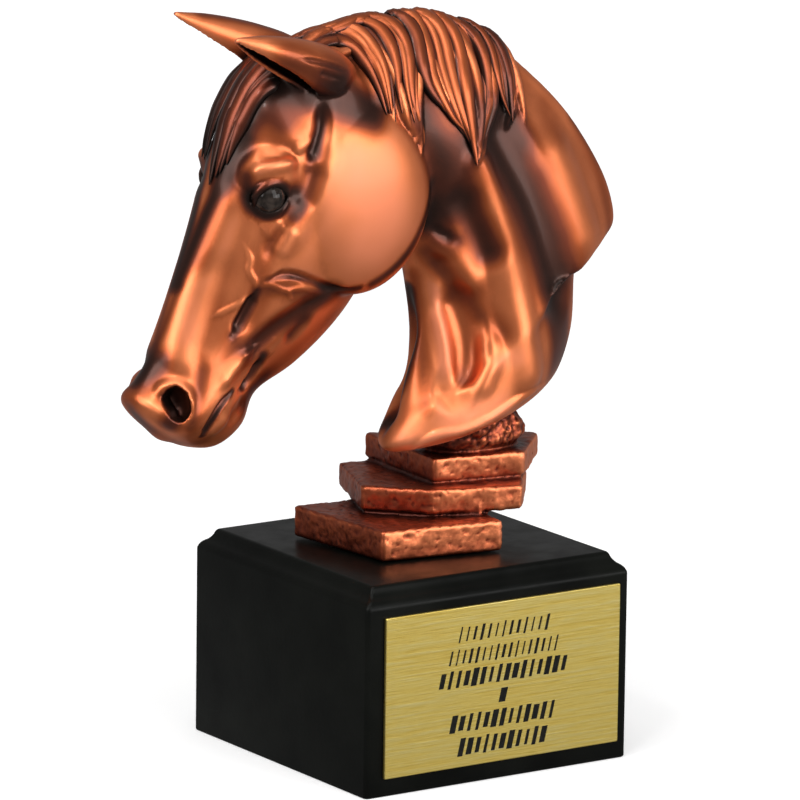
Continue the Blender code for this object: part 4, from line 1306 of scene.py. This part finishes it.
def rounded_outline(width, depth, radius, steps):
    """Corner-rounded rectangle round the origin, counterclockwise."""
    places = []
    for k, (sx, sy) in enumerate(((1, 1), (-1, 1), (-1, -1), (1, -1))):
        for i in range(steps + 1):
            turn = math.pi / 2 * (k + i / steps)
            places.append((sx * (width / 2 - radius) + radius * math.cos(turn),
                           sy * (depth / 2 - radius) + radius * math.sin(turn)))
    return places


# Profile of the plinth from the foot up in millimetres: inset from its side, height above the foot in
# PROFILE and above the top in MOULDING

PROFILE = [(0.5, 0.0), (0.15, 0.15), (0.0, 0.5)]
MOULDING = [(0.0, -5.6), (0.03, -5.1), (0.15, -4.7), (0.5, -4.02), (1.05, -3.45), (1.6, -3.08), (2.1, -2.75),
            (2.55, -2.3), (2.9, -1.85), (3.2, -1.35), (3.4, -0.85), (3.62, -0.42), (3.95, -0.12), (4.4, 0.0)]


# Rounding of the upright corners at the side, how much it loses per millimetre of inset, its least, and the
# rounding of the small edges

PLINTH_CORNER, CORNER_LOSS, LEAST_CORNER = 0.0012, 0.0001, 0.0004
PLINTH_ARRIS = 0.00012


class TROPHY_OT_plinth(Operator):
    """Black lacquered block with a hollow moulding round its top"""

    bl_idname = "trophy.plinth"
    bl_label = "Turn out the plinth"

    def execute(self, context):
        sizes = context.scene.trophy_sizes
        levels = [(inset, height / 1000) for inset, height in PROFILE]
        levels += [(inset, sizes.plinth_height + height / 1000) for inset, height in MOULDING]
        rings = []
        for inset, z in levels:
            wide = sizes.plinth_side - 2 * inset / 1000
            corner = max(LEAST_CORNER, PLINTH_CORNER - inset * CORNER_LOSS)
            rings.append([(x, y, z) for x, y in rounded_outline(wide, wide, corner, 5)])
        block = skin_rings("plinth_block", rings)
        finish_piece(block, "plinth_block", lacquer_finish(), "plinth")
        with_modifiers(block, ("BEVEL", {"width": PLINTH_ARRIS, "segments": 2, "limit_method": "ANGLE",
                                         "angle_limit": math.radians(35), "harden_normals": True}))
        return {"FINISHED"}


# Rows of strokes as shares of the plate: height of the row's middle, width of the row, how many strokes,
# then the thickness and height of one

STROKE_ROWS = [
    (0.83, 0.37, 13, 0.010, 0.10),
    (0.69, 0.45, 17, 0.010, 0.10),
    (0.555, 0.52, 16, 0.020, 0.115),
    (0.415, 0.03, 1, 0.024, 0.105),
    (0.275, 0.42, 13, 0.020, 0.115),
    (0.125, 0.35, 11, 0.020, 0.115),
]
STROKE_LEAN = 0.24
STROKE_DEPTH = 0.0002

# The black fill stays this far inside the cut, and this far under the plate's face

FILL_GAP, FILL_DOWN = 0.00001, 0.00004

# Edge of the plate: inset and distance behind its face; rounding of its corners

PLATE_EDGE = [(0.0, 0.00018), (0.00005, 0.00006), (0.00018, 0.0)]
PLATE_CORNER = 0.0003


def stroke_points():
    """Middle, width and height of each stroke, in metres from the plate's middle; both vary along a row."""
    wide, tall = PLATE_HIGH.x - PLATE_LOW.x, PLATE_HIGH.z - PLATE_LOW.z
    found = []
    for middle, width, count, thick, high in STROKE_ROWS:
        for k in range(count):
            along = 0.5 if count == 1 else k / (count - 1)
            height = high * tall * (0.9 + 0.1 * math.sin(2.1 * k + 9 * middle))
            thickness = thick * wide * (0.95 + 0.3 * math.sin(1.3 * k + 5 * middle))
            found.append(((along - 0.5) * width * wide, (middle - 0.5) * tall, thickness, height))
    return found


def stroke_tree():
    """Geometry nodes: one leaning bar on every point, sized by the point's own width, depth and height."""
    tree, nodes, links, start, end = new_tree("plate_strokes", {"Lean": ("NodeSocketFloat", STROKE_LEAN)})
    bar = nodes.new("GeometryNodeMeshCube")
    spread = nodes.new("GeometryNodeInstanceOnPoints")
    links.new(start.outputs["Geometry"], spread.inputs["Points"])
    links.new(bar.outputs["Mesh"], spread.inputs["Instance"])
    links.new(own_value(nodes, "size", "FLOAT_VECTOR"), spread.inputs["Scale"])
    place = nodes.new("GeometryNodeInputPosition")
    rise = nodes.new("ShaderNodeVectorMath")
    rise.operation = "SUBTRACT"
    links.new(place.outputs[0], rise.inputs[0])
    links.new(own_value(nodes, "middle", "FLOAT_VECTOR"), rise.inputs[1])
    split = nodes.new("ShaderNodeSeparateXYZ")
    links.new(rise.outputs["Vector"], split.inputs[0])
    aside = nodes.new("ShaderNodeCombineXYZ")
    shift = math_node(nodes, links, "MULTIPLY", split.outputs["Z"], start.outputs["Lean"])
    links.new(shift, aside.inputs["X"])
    leant = nodes.new("GeometryNodeSetPosition")
    links.new(realized(nodes, links, spread.outputs[0]), leant.inputs["Geometry"])
    links.new(aside.outputs[0], leant.inputs["Offset"])
    paint_and_end(nodes, links, leant.outputs[0], start, end)
    return tree


def stroke_bars(name, material, grow, front, back):
    """All strokes as leaning bars between two depths behind the plate's face."""
    middle = (PLATE_LOW + PLATE_HIGH) / 2
    depth = PLATE_LOW.y + (front + back) / 2
    rows = stroke_points()
    places = [(middle.x + x, depth, middle.z + z) for x, z, _, _ in rows]
    mesh = bpy.data.meshes.new(name)
    mesh.from_pydata(places, [], [])
    values = {"middle": places, "size": [(w + grow, back - front, h + grow) for _, _, w, h in rows]}
    for key, vectors in values.items():
        attribute = mesh.attributes.new(key, "FLOAT_VECTOR", "POINT")
        attribute.data.foreach_set("vector", np.array(vectors).ravel())
    return through_nodes(put(name, mesh), stroke_tree(), {"Lean": STROKE_LEAN, "Material": material})


class TROPHY_OT_plate(Operator):
    """Brushed gold-coloured plate with shallow black-filled strokes in rows"""

    bl_idname = "trophy.plate"
    bl_label = "Fit the plate"

    def execute(self, context):
        wide, tall = PLATE_HIGH.x - PLATE_LOW.x, PLATE_HIGH.z - PLATE_LOW.z
        middle = (PLATE_LOW + PLATE_HIGH) / 2
        levels = [(0.0, PLATE_HIGH.y)] + [(inset, PLATE_LOW.y + behind) for inset, behind in PLATE_EDGE]
        rings = []
        for inset, y in levels:
            outline = rounded_outline(wide - 2 * inset, tall - 2 * inset, PLATE_CORNER, 3)
            rings.append([(middle.x + x, y, middle.z + z) for x, z in outline])
        plate = skin_rings("plate", rings)
        cutter = stroke_bars("stroke_cutter", None, 0.0, -0.0005, STROKE_DEPTH)
        with_modifiers(plate, ("BOOLEAN", {"operation": "DIFFERENCE", "solver": "EXACT", "object": cutter}))
        discard([cutter])
        finish_piece(plate, "plate", brushed_gold(), "nameplate", smooth=False)
        black = fill_finish()
        fill = stroke_bars("stroke_fill", black, -FILL_GAP, FILL_DOWN, STROKE_DEPTH - FILL_GAP)
        finish_piece(fill, "stroke_fill", black, "nameplate", smooth=False)
        return {"FINISHED"}


# Soft boxes: name, azimuth and elevation in degrees, distance, width and height in metres, brightness

SOFT_BOXES = [
    ("left_box", -80.0, 32.0, 1.1, 0.5, 1.0, 4.0),
    ("right_box", 12.0, 24.0, 1.2, 0.55, 1.1, 3.2),
    ("low_box", 34.0, 7.0, 1.2, 0.7, 0.4, 3.8),
    ("front_box", -30.0, 42.0, 1.6, 1.2, 0.8, 0.6),
    ("top_box", -40.0, 78.0, 1.1, 0.9, 0.9, 2.0),
    ("spark_box", -52.0, 44.0, 1.3, 0.12, 0.12, 40.0),
]
SOFT_BOXES_AIM = Vector((0.0, 0.0, 0.11))

# Floor: radius, and its glow from near the trophy outward as two distances and two strengths

FLOOR_RADIUS = 6.0
GLOW_FROM, GLOW_TO = (0.1, 1.2), (0.38, 0.8)
ROOM_LIGHT = 0.22

# Camera: where it looks, how far away it stands, its lens in millimetres and its roll

CAMERA_AIM = Vector((-0.004062, 0.0, 0.09089))
CAMERA_DISTANCE = 1.94596
CAMERA_LENS = 344.14
CAMERA_ROLL = math.radians(0.756)


def direction(azimuth, elevation):
    """From the trophy out: azimuth 0 stands in front of the plate, 90 on its right."""
    return Vector((math.sin(azimuth) * math.cos(elevation), -math.cos(azimuth) * math.cos(elevation),
                   math.sin(elevation)))


def soft_box(name, azimuth, elevation, distance, wide, tall, brightness):
    light = bpy.data.lights.new(name, "AREA")
    light.shape = "RECTANGLE"
    light.size, light.size_y = wide, tall
    light.energy = brightness * math.pi * wide * tall
    obj = put(name, light)
    out = direction(math.radians(azimuth), math.radians(elevation))
    obj.location = SOFT_BOXES_AIM + out * distance
    obj.rotation_euler = out.to_track_quat("Z", "Y").to_euler()
    return obj


def pale_floor():
    """A white floor that glows a little, more so away from the trophy."""
    bm = bmesh.new()
    bmesh.ops.create_circle(bm, cap_ends=True, radius=FLOOR_RADIUS, segments=96)
    floor = put("floor", mesh_of(bm, "floor"))
    material, nodes, links, shader = shader_nodes("pale_floor", 0.0, 0.7)
    shader.inputs["Base Color"].default_value = (0.86, 0.86, 0.86, 1.0)
    shader.inputs["Emission Color"].default_value = (1.0, 1.0, 1.0, 1.0)
    place = nodes.new("ShaderNodeTexCoord")
    away = nodes.new("ShaderNodeVectorMath")
    away.operation = "LENGTH"
    links.new(place.outputs["Object"], away.inputs[0])
    lit = nodes.new("ShaderNodeMapRange")
    lit.interpolation_type = "SMOOTHSTEP"
    lit.inputs["From Min"].default_value, lit.inputs["From Max"].default_value = GLOW_FROM
    lit.inputs["To Min"].default_value, lit.inputs["To Max"].default_value = GLOW_TO
    links.new(away.outputs["Value"], lit.inputs["Value"])
    links.new(lit.outputs[0], shader.inputs["Emission Strength"])
    floor.data.materials.append(material)
    floor.visible_glossy = False
    return floor


def studio_world():
    """A white backdrop to the camera that lights the trophy only faintly."""
    world = bpy.data.worlds.new("studio")
    world.use_nodes = True
    nodes, links = world.node_tree.nodes, world.node_tree.links
    room = nodes["Background"]
    room.inputs["Color"].default_value = (1, 1, 1, 1)
    room.inputs["Strength"].default_value = ROOM_LIGHT
    seen = nodes.new("ShaderNodeBackground")
    seen.inputs["Color"].default_value = (1, 1, 1, 1)
    path = nodes.new("ShaderNodeLightPath")
    mix = nodes.new("ShaderNodeMixShader")
    links.new(path.outputs["Is Camera Ray"], mix.inputs["Fac"])
    links.new(room.outputs[0], mix.inputs[1])
    links.new(seen.outputs[0], mix.inputs[2])
    links.new(mix.outputs[0], nodes["World Output"].inputs["Surface"])
    return world


def level_camera(azimuth, elevation):
    lens = bpy.data.cameras.new("camera")
    lens.lens = CAMERA_LENS
    lens.clip_start, lens.clip_end = 0.1, 50.0
    camera = put("camera", lens)
    out = direction(azimuth, elevation)
    camera.location = CAMERA_AIM + out * CAMERA_DISTANCE
    level = out.to_track_quat("Z", "Y").to_matrix().to_4x4()
    camera.rotation_euler = (level @ Matrix.Rotation(CAMERA_ROLL, 4, "Z")).to_euler()
    return camera


class TROPHY_OT_stage(Operator):
    """Pale floor, soft studio light and the camera"""

    bl_idname = "trophy.stage"
    bl_label = "Set the stage"

    def execute(self, context):
        scene, sizes = context.scene, context.scene.trophy_sizes
        pale_floor()
        scene.world = studio_world()
        for row in SOFT_BOXES:
            soft_box(*row)
        scene.camera = level_camera(sizes.camera_azimuth, sizes.camera_elevation)
        scene.view_settings.view_transform = "Standard"
        return {"FINISHED"}


class TrophySizes(PropertyGroup):
    """Sizes a user would change"""

    figure_height: FloatProperty(
        name="Figure Height", description="Slab underside to ear tips", default=0.1403, unit="LENGTH")
    plinth_side: FloatProperty(
        name="Plinth Side", description="Width and depth of the square plinth",
        default=PLINTH_HIGH.x - PLINTH_LOW.x, unit="LENGTH")
    plinth_height: FloatProperty(
        name="Plinth Height", description="Height of the plinth with its moulding",
        default=PLINTH_HIGH.z, unit="LENGTH")
    bust_triangles: IntProperty(
        name="Bust Triangles", description="Most triangles the carved bust may keep", default=190000)
    camera_azimuth: FloatProperty(
        name="Camera Azimuth", description="Turn of the camera round the trophy",
        default=math.radians(-34.082), subtype="ANGLE")
    camera_elevation: FloatProperty(
        name="Camera Elevation", description="Camera's height above the horizon",
        default=math.radians(12.553), subtype="ANGLE")


STEPS = (TROPHY_OT_bust, TROPHY_OT_mane, TROPHY_OT_forelock, TROPHY_OT_eyes, TROPHY_OT_rockery,
         TROPHY_OT_plinth, TROPHY_OT_plate, TROPHY_OT_stage)


class TROPHY_PT_panel(Panel):
    """The trophy's sizes and steps"""

    bl_idname = "TROPHY_PT_panel"
    bl_label = "Horse Head Trophy"
    bl_space_type = "VIEW_3D"
    bl_region_type = "UI"
    bl_category = "Trophy"

    def draw(self, context):
        sizes = context.scene.trophy_sizes
        for name in TrophySizes.__annotations__:
            self.layout.prop(sizes, name)
        for step in STEPS:
            self.layout.operator(step.bl_idname)


CLASSES = (TrophySizes, *STEPS, TROPHY_PT_panel)


def register():
    for cls in CLASSES:
        bpy.utils.register_class(cls)
    bpy.types.Scene.trophy_sizes = PointerProperty(type=TrophySizes)


def unregister():
    del bpy.types.Scene.trophy_sizes
    for cls in reversed(CLASSES):
        bpy.utils.unregister_class(cls)


def main():
    register()
    for step in STEPS:
        group, name = step.bl_idname.split(".")
        getattr(getattr(bpy.ops, group), name)()


if __name__ == "__main__":
    main()
